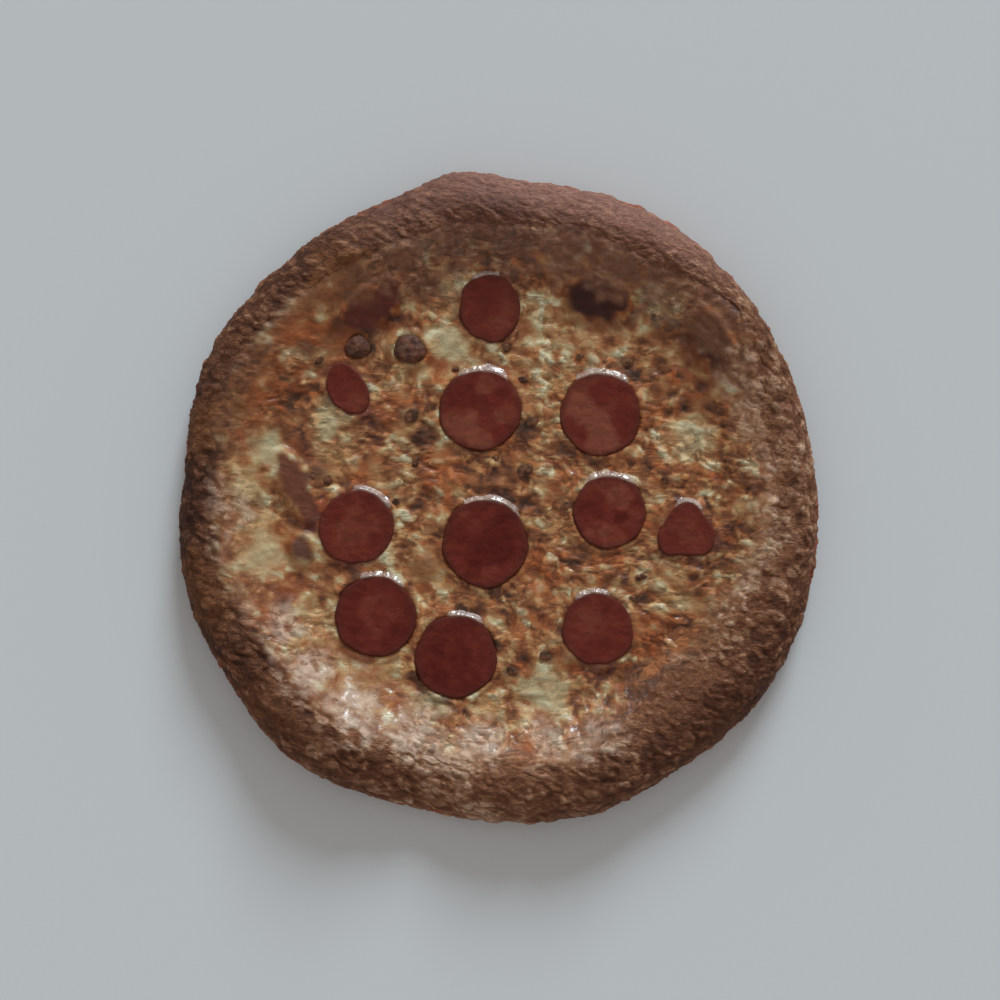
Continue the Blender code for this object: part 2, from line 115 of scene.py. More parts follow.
# Toppings: (name, x, y, half-length, half-width in mm, turn in degrees, how three-cornered).
SLICES = [
    ("pepperoni_01", -4.0, 88.6, 16.0, 14.6, 90, 0.00),
    ("pepperoni_02", -58.5, 89.5, 15.5, 7.4, 36, 0.02),
    ("pepperoni_03", 46.3, 93.0, 14.6, 9.6, -8, 0.03),
    ("pepperoni_04", 99.4, 72.4, 16.4, 7.4, 112, 0.00),
    ("pepperoni_05", -8.7, 40.7, 19.3, 19.0, 0, 0.00),
    ("pepperoni_06", 47.7, 38.8, 19.3, 19.3, 0, 0.00),
    ("pepperoni_07", -70.7, 50.6, 13.2, 9.0, 118, 0.03),
    ("pepperoni_08", -66.5, -13.9, 17.9, 17.4, 20, 0.01),
    ("pepperoni_09", -6.3, -21.4, 20.7, 20.2, 90, 0.00),
    ("pepperoni_10", 51.9, -6.8, 17.4, 16.9, 90, 0.00),
    ("pepperoni_11", 88.1, -16.2, 13.2, 12.6, 0, 0.13),
    ("pepperoni_12", -57.6, -55.7, 19.3, 19.0, 40, 0.01),
    ("pepperoni_13", -20.0, -74.5, 19.8, 19.3, 90, 0.01),
    ("pepperoni_14", 46.3, -61.8, 17.2, 16.8, 150, 0.02),
    ("pepperoni_15", -95.2, 5.6, 17.0, 5.4, -65, 0.00),
]
CRUMBS = [
    ("meat_crumb_01", -66.0, 70.6, 6.2, 5.6, 20, 0.06),
    ("meat_crumb_02", -41.6, 69.3, 7.6, 6.9, -15, 0.05),
    ("meat_crumb_03", -92.0, -23.3, 5.0, 4.4, 80, 0.04),
]

# %% Swellings, steps and gradient noise
def bumps(bearing, swells):
    """Sum of smooth swellings: size * exp(-(angle away / half-width)^2), round the circle."""
    total = np.zeros_like(np.asarray(bearing, float))
    for centre, size, half_width in swells:
        away = (np.degrees(bearing) - centre + 180.0) % 360.0 - 180.0
        total += size * MM * np.exp(-((away / half_width) ** 2))
    return total


def smooth_step(share):
    """0 below 0, 1 above 1, and the cubic 3s^2 - 2s^3 in between."""
    share = np.clip(share, 0.0, 1.0)
    return share * share * (3.0 - 2.0 * share)


def scrambled(ix, iy, iz, seed):
    """A whole number from 0 to 65535 for each cell corner, by integer mixing."""
    mixed = (ix * 374761393 + iy * 668265263 + iz * 974634777 + seed * 1274126177) & 0xFFFFFFFF
    mixed = ((mixed ^ (mixed >> 13)) * 1103515245) & 0xFFFFFFFF
    return (mixed ^ (mixed >> 16)) & 0xFFFF


def noise(points, cell, seed):
    """Gradient noise of about -1 to 1: each corner of a grid of cells has a random slope, and
    the eight slopes round a point are blended with 6t^5 - 15t^4 + 10t^3. The cell sets the size
    of its lumps, and each seed gives a pattern of its own."""
    scaled = np.asarray(points, float) / cell
    low = np.floor(scaled).astype(np.int64)
    part = scaled - low
    blend = part**3 * (part * (part * 6.0 - 15.0) + 10.0)
    total = np.zeros(len(scaled))
    for corner in range(8):
        step = np.array([corner & 1, corner >> 1 & 1, corner >> 2 & 1])
        cells = (low + step).T
        slopes = [scrambled(*cells, seed + 31 * axis) / 32767.5 - 1.0 for axis in range(3)]
        toward = (part - step).T
        weight = np.prod(np.where(step, blend, 1.0 - blend), axis=1)
        total += weight * sum(slope * away for slope, away in zip(slopes, toward))
    return total * 1.6


def patchy(points, cell, seed, low=-0.2, high=0.5):
    """A mask of 0 to 1 that is noise, cut between a low and a high value."""
    return smooth_step((noise(points, cell, seed) - low) / (high - low))


# %% Distances from the outline
def bearing_and_radius(x, y):
    """Bearing and distance of points from the middle of the outline."""
    dx, dy = x - OUTLINE_CENTRE[0], y - OUTLINE_CENTRE[1]
    return np.arctan2(dy, dx), np.hypot(dx, dy)


def at_bearing(bearing, radius):
    """The points at those bearings and distances from the middle of the outline."""
    x = OUTLINE_CENTRE[0] + radius * np.cos(bearing)
    y = OUTLINE_CENTRE[1] + radius * np.sin(bearing)
    return x, y


def on_circle(bearing):
    """Points of the crust's mean circle, which noise round the pizza is read from."""
    ring = np.stack([np.cos(bearing), np.sin(bearing), 0 * bearing], 1)
    return ring * CRUST_RADIUS


def outline_radius(bearing):
    """Radius of the crust's outline: the mean radius, the swellings and small crags."""
    crags = 0.55 * MM * noise(on_circle(bearing), 11 * MM, NOISE_SEED)
    return CRUST_RADIUS + bumps(bearing, OUTLINE_SWELLS) + crags


def crest_inset(bearing):
    """How far inside the outline the rim's crest runs."""
    return CREST_INSET + bumps(bearing, CREST_SHIFTS)


def rim_height(bearing):
    """Height of the rim's crest: the mean height and the swellings."""
    return RIM_HEIGHT + bumps(bearing, RIM_SWELLS)


def cheese_inset(bearing):
    """How far inside the outline the cheese ends: the mean, the shifts and uneven runs."""
    runs = 1.6 * MM * noise(on_circle(bearing), 17 * MM, NOISE_SEED + 1)
    return CHEESE_INSET + bumps(bearing, CHEESE_SHIFTS) + runs


def sauce_inset(bearing):
    """How far inside the outline the sauce ends: a strip of it shows outside the cheese."""
    return cheese_inset(bearing) - SAUCE_SHOWS - bumps(bearing, SAUCE_SHIFTS)


def flat(x, y):
    """Points (x, y, 0), for noise that is the same at every height."""
    return np.stack([x, y, np.zeros_like(x)], 1)


# %% Height of the dough, the sauce and the smooth cheese
def dough_level(x, y):
    """Height of the crust inside its crest without the sauce's recess: a floor, then half a
    cosine wave up to the crest, with low lumps."""
    bearing, radius = bearing_and_radius(x, y)
    inset = outline_radius(bearing) - radius
    down = np.clip((inset - crest_inset(bearing)) / INNER_SLOPE_WIDTH, 0.0, 1.0)
    rise = (rim_height(bearing) - FLOOR_THICKNESS) * 0.5 * (1.0 + np.cos(math.pi * down))
    lumps = 0.9 * MM * noise(flat(x, y), 26 * MM, NOISE_SEED + 2)
    return FLOOR_THICKNESS + rise + lumps * (1.0 - 0.6 * down) * smooth_step(down / 0.12)


def skin_level(x, y):
    """Height of the dough's skin at any spot of the plan: inside the crest the dough's level,
    outside it the wall's quarter of a swollen ellipse, and crags that grow towards the crest."""
    bearing, radius = bearing_and_radius(x, y)
    inset = np.maximum(outline_radius(bearing) - radius, 0.0)
    crest, height = crest_inset(bearing), rim_height(bearing)
    lip = sauce_inset(bearing) - RECESS_LIP_WIDTH
    share = np.clip((lip - inset) / (lip - crest), 0.0, 1.0)
    sine = np.clip(1.0 - inset / crest, 0.0, 1.0)
    wall = WIDEST_LEVEL + (height - WIDEST_LEVEL) * np.sqrt(1.0 - sine**2) ** WALL_SWELL
    level = np.where(inset < crest, wall, dough_level(x, y))
    return level + crags(np.stack([x, y, level], 1)) * share


def crags(points):
    """Lumps of the rim in two sizes, as the solid has them."""
    small, broad = (noise(points, c * MM, NOISE_SEED + s) for c, s in ((13, 5), (30, 6)))
    return 1.3 * MM * small + 1.4 * MM * broad


def crust_level(x, y):
    """Height of the dough, less the recess that the sauce fills."""
    bearing, radius = bearing_and_radius(x, y)
    inset = outline_radius(bearing) - radius
    sunk = smooth_step(1.0 + (inset - sauce_inset(bearing)) / RECESS_LIP_WIDTH)
    return dough_level(x, y) - SAUCE_RECESS * sunk


def sauce_level(x, y):
    """Height of the sauce's top: thin at its edge and full a taper further in."""
    bearing, radius = bearing_and_radius(x, y)
    inset = outline_radius(bearing) - radius
    inward = smooth_step((inset - sauce_inset(bearing)) / SAUCE_TAPER)
    thick = SAUCE_EDGE_THICKNESS + (SAUCE_THICKNESS - SAUCE_EDGE_THICKNESS) * inward
    return crust_level(x, y) + LAYER_GAP + thick


def smooth_cheese_level(x, y):
    """Height of the cheese's top without lumps or toppings."""
    bearing, radius = bearing_and_radius(x, y)
    inset = outline_radius(bearing) - radius
    inward = smooth_step((inset - cheese_inset(bearing)) / CHEESE_TAPER)
    thick = CHEESE_EDGE_THICKNESS + (CHEESE_THICKNESS - CHEESE_EDGE_THICKNESS) * inward
    return sauce_level(x, y) + LAYER_GAP + thick


# %% The toppings' edges and the beds that they lie in
def topping_reach(topping, bearing):
    """Distance from a topping's middle to its edge: an ellipse, three-cornered a little, with a
    slow wobble that differs from one topping to the next."""
    name, _, _, half_length, half_width, turn, corners = topping
    own = bearing - math.radians(turn)
    ellipse = 1.0 / np.hypot(np.cos(own) / half_length, np.sin(own) / half_width)
    phase = 1.7 * int(name[-2:])
    wobble = 0.012 * np.sin(5 * bearing + phase) + 0.014 * np.sin(2 * bearing + 2.3 * phase)
    three = corners * np.cos(3 * (bearing - math.pi / 2))
    return ellipse * MM * (1.0 + wobble + three)


def edge_stretch(topping, bearing):
    """How much further one goes along a bearing than straight out from a topping's edge."""
    step = 0.01
    change = topping_reach(topping, bearing + step) - topping_reach(topping, bearing - step)
    return np.hypot(1.0, change / (2 * step) / topping_reach(topping, bearing))


def beyond_edge(topping, x, y):
    """Distance of points outside a topping's edge, negative inside it."""
    dx, dy = x - topping[1] * MM, y - topping[2] * MM
    bearing = np.arctan2(dy, dx)
    outward = np.hypot(dx, dy) - topping_reach(topping, bearing)
    return outward / edge_stretch(topping, bearing)


def bed_plane(topping):
    """The plane that a topping lies on: (height at its middle, slope along X, slope along Y),
    fitted to the smooth cheese under its edge."""
    bearings = np.linspace(0, 2 * math.pi, 24, endpoint=False)
    reach = topping_reach(topping, bearings)
    x, y = reach * np.cos(bearings), reach * np.sin(bearings)
    level = smooth_cheese_level(x + topping[1] * MM, y + topping[2] * MM)
    fitted = np.linalg.lstsq(np.stack([np.ones_like(x), x, y], 1), level, rcond=None)[0]
    return fitted[0] - BED_DEPTH, fitted[1], fitted[2]


BEDS = {topping[0]: bed_plane(topping) for topping in SLICES + CRUMBS}
print("beds slope up to", round(max(math.hypot(b[1], b[2]) for b in BEDS.values()), 2))

# %% [markdown]
# ## Camera, floor and light
#
# The pizza is seen from straight above, through a long lens, so that its rim hardly leans. The
# light is a broad one, low behind the far side: it brightens every slope that faces it and
# leaves a soft shadow on the near side. A large dim sky fills the rest.

# %% Camera from straight above
PIXEL = 0.47 * MM
IMAGE_SIDE = 1000
FRAME_CENTRE = (0.7 * MM, -1.2 * MM)
LENS = 85.0
SENSOR = 36.0
VIEW_LEVEL = 8.0 * MM


def straight_camera():
    """A camera that looks down: distance = width of the view * focal length / sensor width."""
    made = bpy.data.cameras.new("camera")
    made.lens = LENS
    made.sensor_width = SENSOR
    camera = bpy.data.objects.new("camera", made)
    distance = IMAGE_SIDE * PIXEL * LENS / SENSOR
    camera.location = (*FRAME_CENTRE, VIEW_LEVEL + distance)
    bpy.context.scene.collection.objects.link(camera)
    bpy.context.scene.camera = camera
    print("camera height:", round(camera.location.z, 3), "m")


straight_camera()

# %% Low key light, sky and view
SUN_HEADING = math.radians(76.0)
SUN_ELEVATION = math.radians(21.5)
SUN_SPREAD = math.radians(20.0)
SUN_STRENGTH = 2.75
SUN_COLOUR = (0.784, 0.922, 1.0)
SKY_STRENGTH = 0.38
SKY_COLOUR = (1.0, 0.97, 0.94)


def low_sun():
    """A sun lamp whose own -Z axis is turned to run from the light towards the pizza."""
    lamp = bpy.data.lights.new("key_light", "SUN")
    lamp.energy = SUN_STRENGTH
    lamp.angle = SUN_SPREAD
    lamp.color = SUN_COLOUR
    sun = bpy.data.objects.new("key_light", lamp)
    sun.rotation_euler = (math.pi / 2 - SUN_ELEVATION, 0.0, SUN_HEADING + math.pi / 2)
    bpy.context.scene.collection.objects.link(sun)


def even_sky():
    """A world of one colour, which lights every side alike."""
    world = bpy.data.worlds.new("sky")
    world.use_nodes = True
    background = world.node_tree.nodes["Background"]
    background.inputs["Color"].default_value = (*SKY_COLOUR, 1.0)
    background.inputs["Strength"].default_value = SKY_STRENGTH
    bpy.context.scene.world = world


low_sun()
even_sky()
bpy.context.scene.view_settings.view_transform = "Standard"

# %% [markdown]
# ## Small tools for materials
#
# Each finish starts from a Principled shader. Its colour comes from a colour that is stored on
# the mesh's points, since numpy already knows where every fleck and strand lies. Shared node
# groups then add the grain that is finer than the mesh.

# %% Node helpers
def new_material(name, roughness):
    """A material with one Principled shader, and that shader."""
    made = bpy.data.materials.new(name)
    made.use_nodes = True
    shader = made.node_tree.nodes["Principled BSDF"]
    shader.inputs["Roughness"].default_value = roughness
    return made, shader


def group_node(tree, group, **values):
    """Places a node group in a material and sets its inputs by name."""
    node = tree.nodes.new("ShaderNodeGroup")
    node.node_tree = group
    for name, value in values.items():
        node.inputs[name.replace("_", " ")].default_value = value
    return node


def stored(tree, name):
    """Reads an attribute that is stored on the mesh's points."""
    node = tree.nodes.new("ShaderNodeAttribute")
    node.attribute_name = name
    return node


def math_node(tree, operation, *values):
    """A Math node whose inputs are numbers or other nodes' outputs. It gives its output."""
    node = tree.nodes.new("ShaderNodeMath")
    node.operation = operation
    for socket, value in zip(node.inputs, values):
        if isinstance(value, bpy.types.NodeSocket):
            tree.links.new(value, socket)
        else:
            socket.default_value = value
    return node.outputs[0]


def texture(tree, kind, vector, scale, **settings):
    """A texture node of a kind, read at a vector and a scale, with its other inputs set."""
    node = tree.nodes.new(kind)
    for name, value in settings.items():
        node.inputs[name].default_value = value
    tree.links.new(vector, node.inputs["Vector"])
    tree.links.new(scale, node.inputs["Scale"])
    return node


SOCKET_KINDS = {"Colour": "NodeSocketColor", "Vector": "NodeSocketVector"}


def new_group(name, inputs, outputs):
    """An empty node group with float and colour sockets, and its two end nodes."""
    group = bpy.data.node_groups.new(name, "ShaderNodeTree")
    for way, sockets in (("INPUT", inputs), ("OUTPUT", outputs)):
        for socket in sockets:
            kind = SOCKET_KINDS.get(socket, "NodeSocketFloat")
            group.interface.new_socket(socket, in_out=way, socket_type=kind)
    return group, group.nodes.new("NodeGroupInput"), group.nodes.new("NodeGroupOutput")


# %% Group: slanted, object coordinates that are squeezed across one heading
SLANT_HEADING = math.radians(-28.0)


def slanted_group():
    """Vector out = object coordinates turned by the heading, with the second and third axes
    doubled, so that any texture on them is stretched along the heading."""
    group, _, end = new_group("slanted", [], ["Vector"])
    where = group.nodes.new("ShaderNodeTexCoord")
    turned = group.nodes.new("ShaderNodeMapping")
    turned.inputs["Rotation"].default_value = (0.0, 0.0, -SLANT_HEADING)
    turned.inputs["Scale"].default_value = (1.0, 2.0, 2.0)
    group.links.new(where.outputs["Object"], turned.inputs["Vector"])
    group.links.new(turned.outputs["Vector"], end.inputs["Vector"])
    return group


SLANTED = slanted_group()

# %% Group: grain, a fine mottling that lightens and darkens a colour
def scaled_colour(group, colour, gain, end):
    """Sends a colour times a gain to the group's colour output."""
    scaled = group.nodes.new("ShaderNodeVectorMath")
    scaled.operation = "SCALE"
    group.links.new(colour, scaled.inputs[0])
    group.links.new(gain, scaled.inputs["Scale"])
    group.links.new(scaled.outputs["Vector"], end.inputs["Colour"])


def grain_group():
    """Colour out = colour in * (1 + amount * (noise - 0.5)), with noise read in object space."""
    group, start, end = new_group("grain", ["Colour", "Size", "Amount"], ["Colour"])
    where = group_node(group, SLANTED).outputs["Vector"]
    scale = math_node(group, "DIVIDE", 1.0, start.outputs["Size"])
    speckle = texture(group, "ShaderNodeTexNoise", where, scale, Detail=4.0, Roughness=0.65)
    centred = math_node(group, "SUBTRACT", speckle.outputs["Fac"], 0.5)
    gain = math_node(group, "MULTIPLY_ADD", centred, start.outputs["Amount"], 1.0)
    scaled_colour(group, start.outputs["Colour"], gain, end)
    return group


GRAIN = grain_group()

# %% Group: flakes, angular shards of lighter and darker tone
def flake_group():
    """Voronoi cells on slanted coordinates that noise has bent. Each cell has a random value v:
    colour out = colour in * (1 + amount * (v - 0.5)), height out = v * (1 - dome * distance)."""
    inputs = ["Colour", "Size", "Amount", "Bend", "Curl", "Dome"]
    group, start, end = new_group("flakes", inputs, ["Colour", "Height"])
    where = group_node(group, SLANTED).outputs["Vector"]
    scale = math_node(group, "DIVIDE", 1.0, start.outputs["Size"])
    slow = math_node(group, "DIVIDE", scale, 4.0)
    noisy = texture(group, "ShaderNodeTexNoise", where, slow)
    group.links.new(start.outputs["Curl"], noisy.inputs["Detail"])
    push = math_node(group, "MULTIPLY", start.outputs["Size"], start.outputs["Bend"])
    bent = group.nodes.new("ShaderNodeVectorMath")
    bent.operation = "MULTIPLY_ADD"
    group.links.new(noisy.outputs["Color"], bent.inputs[0])
    group.links.new(push, bent.inputs[1])
    group.links.new(where, bent.inputs[2])
    cells = texture(group, "ShaderNodeTexVoronoi", bent.outputs["Vector"], scale)
    parts = group.nodes.new("ShaderNodeSeparateColor")
    group.links.new(cells.outputs["Color"], parts.inputs["Color"])
    value = parts.outputs["Red"]
    centred = math_node(group, "SUBTRACT", value, 0.5)
    gain = math_node(group, "MULTIPLY_ADD", centred, start.outputs["Amount"], 1.0)
    scaled_colour(group, start.outputs["Colour"], gain, end)
    fall = math_node(group, "MULTIPLY", cells.outputs["Distance"], start.outputs["Dome"])
    inward = math_node(group, "SUBTRACT", 1.0, fall)
    group.links.new(math_node(group, "MULTIPLY", value, inward), end.inputs["Height"])
    return group


FLAKES = flake_group()

# %% Group: crinkle, the height of fine wrinkles and pits for a Bump node
def crinkle_group():
    """Height out = two octaves of stretched noise, the second four times as fine."""
    group, start, end = new_group("crinkle", ["Size", "Fine"], ["Height"])
    where = group_node(group, SLANTED).outputs["Vector"]
    scale = math_node(group, "DIVIDE", 1.0, start.outputs["Size"])
    finer = math_node(group, "MULTIPLY", scale, 4.0)
    coarse = texture(group, "ShaderNodeTexNoise", where, scale, Detail=3.0, Distortion=0.8)
    fine = texture(group, "ShaderNodeTexNoise", where, finer, Detail=2.0)
    strength = start.outputs["Fine"]
    total = math_node(group, "MULTIPLY_ADD", fine.outputs["Fac"], strength, coarse.outputs["Fac"])
    group.links.new(total, end.inputs["Height"])
    return group


CRINKLE = crinkle_group()
print("node groups:", sorted(group.name for group in bpy.data.node_groups))

# %% One finish for every food surface: stored colour, grain, stored wetness, fine bump
OIL_ROUGHNESS = 0.12
# How far flakes bend, in shares of their size, how curly the bend is, and how domed they are.
BREAD_FLAKES = (2.6, 3.0, 1.0)
SHRED_FLAKES = (5.0, 0.6, 0.25)
MEAT_FLAKES = (3.0, 1.0, 0.0)


def food_material(name, grain, flakes, crinkle, roughness, shine, form=BREAD_FLAKES, oil=0.0):
    """Stored colour with grain and flakes of a size and an amount on it, a bump from flakes and
    crinkles of a height, a roughness that runs from dry to wet with the stored wetness, and a coat
    of oil where it is wet. The stored flakiness scales what flakes do."""
    made, shader = new_material(name, roughness[0])
    tree = made.node_tree
    grainy = group_node(tree, GRAIN, Size=grain[0], Amount=grain[1])
    form = dict(zip(("Bend", "Curl", "Dome"), form))
    flaky = group_node(tree, FLAKES, Size=flakes[0], **form)
    flakiness = stored(tree, "flakiness").outputs["Fac"]
    tree.links.new(math_node(tree, "MULTIPLY", flakiness, flakes[1]), flaky.inputs["Amount"])
    crinkled = group_node(tree, CRINKLE, Size=crinkle[0], Fine=0.35)
    tree.links.new(stored(tree, "colour").outputs["Color"], grainy.inputs["Colour"])
    tree.links.new(grainy.outputs["Colour"], flaky.inputs["Colour"])
    tree.links.new(flaky.outputs["Colour"], shader.inputs["Base Color"])
    gloss = tree.nodes.new("ShaderNodeMapRange")
    gloss.inputs["To Min"].default_value = roughness[0]
    gloss.inputs["To Max"].default_value = roughness[1]
    tree.links.new(stored(tree, "wetness").outputs["Fac"], gloss.inputs["Value"])
    tree.links.new(gloss.outputs["Result"], shader.inputs["Roughness"])
    flake_height = math_node(tree, "MULTIPLY", flaky.outputs["Height"], flakiness)
    heights = flake_height, flakes[2] / crinkle[1], crinkled.outputs["Height"]
    bump = tree.nodes.new("ShaderNodeBump")
    bump.inputs["Distance"].default_value = crinkle[1]
    tree.links.new(math_node(tree, "MULTIPLY_ADD", *heights), bump.inputs["Height"])
    tree.links.new(bump.outputs["Normal"], shader.inputs["Normal"])
    shader.inputs["Specular IOR Level"].default_value = shine
    if oil:
        wet = stored(tree, "wetness").outputs["Fac"]
        tree.links.new(math_node(tree, "MULTIPLY", wet, oil), shader.inputs["Coat Weight"])
        shader.inputs["Coat Roughness"].default_value = OIL_ROUGHNESS
    return made


# %% Put numpy arrays into a mesh
def ring_faces(first, second):
    """Quads from one ring of point numbers to the next, or a fan where one is a single point."""
    after_first, after_second = np.roll(first, -1), np.roll(second, -1)
    if len(first) == 1:
        return np.stack([np.broadcast_to(first, second.shape), second, after_second], 1)
    if len(second) == 1:
        return np.stack([first, np.broadcast_to(second, first.shape), after_first], 1)
    return np.stack([first, second, after_second, after_first], 1)


def shell_faces(rows, columns):
    """Faces of a closed shell: a pole, rings of points, and a pole."""
    rings = [np.arange(columns) + 1 + row * columns for row in range(rows - 2)]
    rings = [np.array([0])] + rings + [np.array([1 + (rows - 2) * columns])]
    return [face for a, b in zip(rings, rings[1:]) for face in ring_faces(a, b).tolist()]


def with_poles(values):
    """Values of a grid of rings, with the first and the last ring each made one point."""
    inner = values[1:-1].reshape(-1, *values.shape[2:])
    return np.concatenate([values[:1].mean(1), inner, values[-1:].mean(1)])


def mesh_piece(name, points, faces, material, slot, colour, wetness, flakiness=1.0):
    """A smooth-shaded piece at the origin, with its colour, wetness and flakiness stored on its
    points."""
    mesh = bpy.data.meshes.new(name)
    mesh.from_pydata(points.tolist(), [], faces)
    mesh.materials.append(material)
    mesh.shade_smooth()
    stored_colour = mesh.attributes.new("colour", "FLOAT_COLOR", "POINT")
    rgba = np.concatenate([colour, np.ones((len(points), 1))], 1)
    stored_colour.data.foreach_set("color", rgba.astype(np.float32).ravel())
    for kind, amount in (("wetness", wetness), ("flakiness", flakiness)):
        share = np.broadcast_to(amount, len(points)).astype(np.float32)
        mesh.attributes.new(kind, "FLOAT", "POINT").data.foreach_set("value", share)
    piece = bpy.data.objects.new(name, mesh)
    bpy.context.scene.collection.objects.link(piece)
    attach(piece, "root")
    print(f"{name}: {len(points)} points, {len(faces)} faces")
    return piece


def mixed(first, second, share):
    """Blends two colours, each one colour or one for each point, by a share for each point."""
    share = np.asarray(share)[:, None]
    return np.asarray(first) * (1.0 - share) + np.asarray(second) * share


# %% [markdown]
# ## Strokes of relief
#
# Melted strands and crinkled dough have no formula of their own, but both are heaps of short,
# bent, overlapping strokes. So we draw strokes into a height map, keep the highest one at each
# spot, and remember which tint it had. Any surface can then be lifted and coloured by the map.

# %% Draw strokes into a height map and a tint map
def stroke_maps(width, height, cell, strokes):
    """Relief and tint on a grid of cells that repeats. A stroke is (x, y, angle, half-length,
    half-width, tallness, tint, bend). Its sides are steep, its top nearly flat, its ends round."""
    rows, columns = round(height / cell), round(width / cell)
    relief, tint = np.zeros((rows, columns)), np.full((rows, columns), 0.5)
    for x, y, angle, half_length, half_width, tall, shade, bend in strokes:
        reach = half_length + half_width
        c = np.arange(int((x - reach) / cell), int((x + reach) / cell) + 2)
        r = np.arange(int((y - reach) / cell), int((y + reach) / cell) + 2)
        dx, dy = (c * cell - x)[None, :], (r * cell - y)[:, None]
        along = dx * math.cos(angle) + dy * math.sin(angle)
        across = dy * math.cos(angle) - dx * math.sin(angle)
        across = across + bend * (along**2 - half_length**2 / 3)
        over = np.clip(np.abs(along) - half_length + half_width, 0, None)
        inward = np.clip(1 - (across**2 + over**2) / half_width**2, 0, None)
        here = tall * (0.8 * np.clip(2.5 * inward, 0, 1) + 0.2 * inward)
        where = np.ix_(r % rows, c % columns)
        higher = here > relief[where]
        relief[where] = np.where(higher, here, relief[where])
        tint[where] = np.where(higher, shade, tint[where])
    return relief, tint


def read_map(values, cell, x, y):
    """The map's value at points, blended between its four nearest cells."""
    rows, columns = values.shape
    low_c, low_r = np.floor(x / cell), np.floor(y / cell)
    right, up = x / cell - low_c, y / cell - low_r
    c, r = low_c.astype(int) % columns, low_r.astype(int) % rows
    next_c, next_r = (c + 1) % columns, (r + 1) % rows
    lower = values[r, c] * (1 - right) + values[r, next_c] * right
    upper = values[next_r, c] * (1 - right) + values[next_r, next_c] * right
    return lower * (1 - up) + upper * up


def softened(values):
    """The map with each cell averaged with its neighbours, by weights 1, 2, 1."""
    for axis in (0, 1):
        values = (np.roll(values, 1, axis) + 2 * values + np.roll(values, -1, axis)) / 4
    return values


def spots(x, y, patches, ragged):
    """Round patches (x, y, radius in mm, strength) with ragged edges: the strength times a step
    of the distance from the middle and of noise."""
    total = np.zeros_like(x)
    for centre_x, centre_y, radius, strength in patches:
        away = np.hypot(x - centre_x * MM, y - centre_y * MM) / (radius * MM)
        total = np.maximum(total, strength * smooth_step(1.5 - away + 0.6 * ragged))
    return np.clip(total, 0.0, 1.0)


# %% Angular shards and papery wrinkles
def shards(points, cell, seed):
    """Cells round scattered points: at each spot, the random value of the nearest scattered point,
    and how much further the next one is, which is 0 on a border between two cells."""
    scaled = points / cell
    low = np.floor(scaled).astype(np.int64)
    nearest, second = np.full((2, len(scaled)), 9.0)
    value = np.zeros(len(scaled))
    for corner in range(27):
        cells = low + (corner % 3 - 1, corner // 3 % 3 - 1, corner // 9 - 1)
        jitter = [scrambled(*cells.T, seed + 17 * axis) / 65535.0 for axis in range(3)]
        away = np.linalg.norm(cells + np.stack(jitter, 1) - scaled, axis=1)
        closer = away < nearest
        second = np.where(closer, nearest, np.minimum(second, away))
        value = np.where(closer, scrambled(*cells.T, seed + 91) / 65535.0, value)
        nearest = np.where(closer, away, nearest)
    return value, second - nearest


WRINKLE_STRETCH = 2.3


def slanted(points):
    """Points turned by the slant's heading and squeezed along it, so that what is read from them
    is stretched that way, and pushed by noise."""
    cosine, sine = math.cos(SLANT_HEADING), math.sin(SLANT_HEADING)
    along = points[:, 0] * cosine + points[:, 1] * sine
    across = points[:, 1] * cosine - points[:, 0] * sine
    turned = np.stack([along / WRINKLE_STRETCH, across, points[:, 2]], 1)
    return turned + 1.3 * MM * noise(points, 6 * MM, 27)[:, None]


def dough_relief(points):
    """Relief and tint of the dough's skin: ridged noise, 1 - 2 * |noise|, and shards in two
    sizes."""
    spot = slanted(points)
    ridges = 1.0 - 2.0 * np.abs(noise(spot, 4.4 * MM, 28))
    broad, border = shards(spot, 3.4 * MM, 26)
    small, small_border = shards(spot, 2.0 * MM, 29)
    relief = 0.20 + 0.22 * ridges + 0.38 * broad * smooth_step(border / 0.3)
    relief += 0.24 * small * smooth_step(small_border / 0.3)
    return np.clip(relief, 0.0, 1.0), 0.55 * broad + 0.45 * small


# %% Strands of melted cheese
STRAND_CELL = 0.4 * MM
STRAND_RELIEF = 1.7 * MM
MAP_HALF = 140.0 * MM
# Curds, shreds and bits: (how many, half-lengths, half-widths in mm, tallnesses).
STRAND_SIZES = [
    (1300, (3.0, 6.5), (2.0, 3.6), (0.30, 0.75)),
    (2400, (2.5, 7.0), (0.8, 1.8), (0.40, 0.95)),
    (1400, (1.0, 2.6), (0.7, 1.5), (0.50, 1.0)),
]


def cheese_strands():
    """Wide curds, shreds and bits that lie in every direction, most of them along one."""
    draw = np.random.default_rng(NOISE_SEED + 1)
    sets = []
    for count, lengths, widths, talls in STRAND_SIZES:
        x, y = draw.uniform(0, 2 * MAP_HALF, (2, count))
        angle = draw.normal(-0.6, 0.9, count)
        half_length, half_width = draw.uniform(*lengths, count), draw.uniform(*widths, count)
        tall, tint = draw.uniform(*talls, count), draw.uniform(0, 1, count)
        bend = draw.normal(0, 22, count)
        sizes = [half_length * MM, half_width * MM]
        sets.append(np.stack([x, y, angle, *sizes, tall, tint, bend], 1))
    return stroke_maps(2 * MAP_HALF, 2 * MAP_HALF, STRAND_CELL, np.concatenate(sets))


STRAND_MAPS = [softened(m) for m in cheese_strands()]
print("strand maps:", [m.shape for m in STRAND_MAPS])


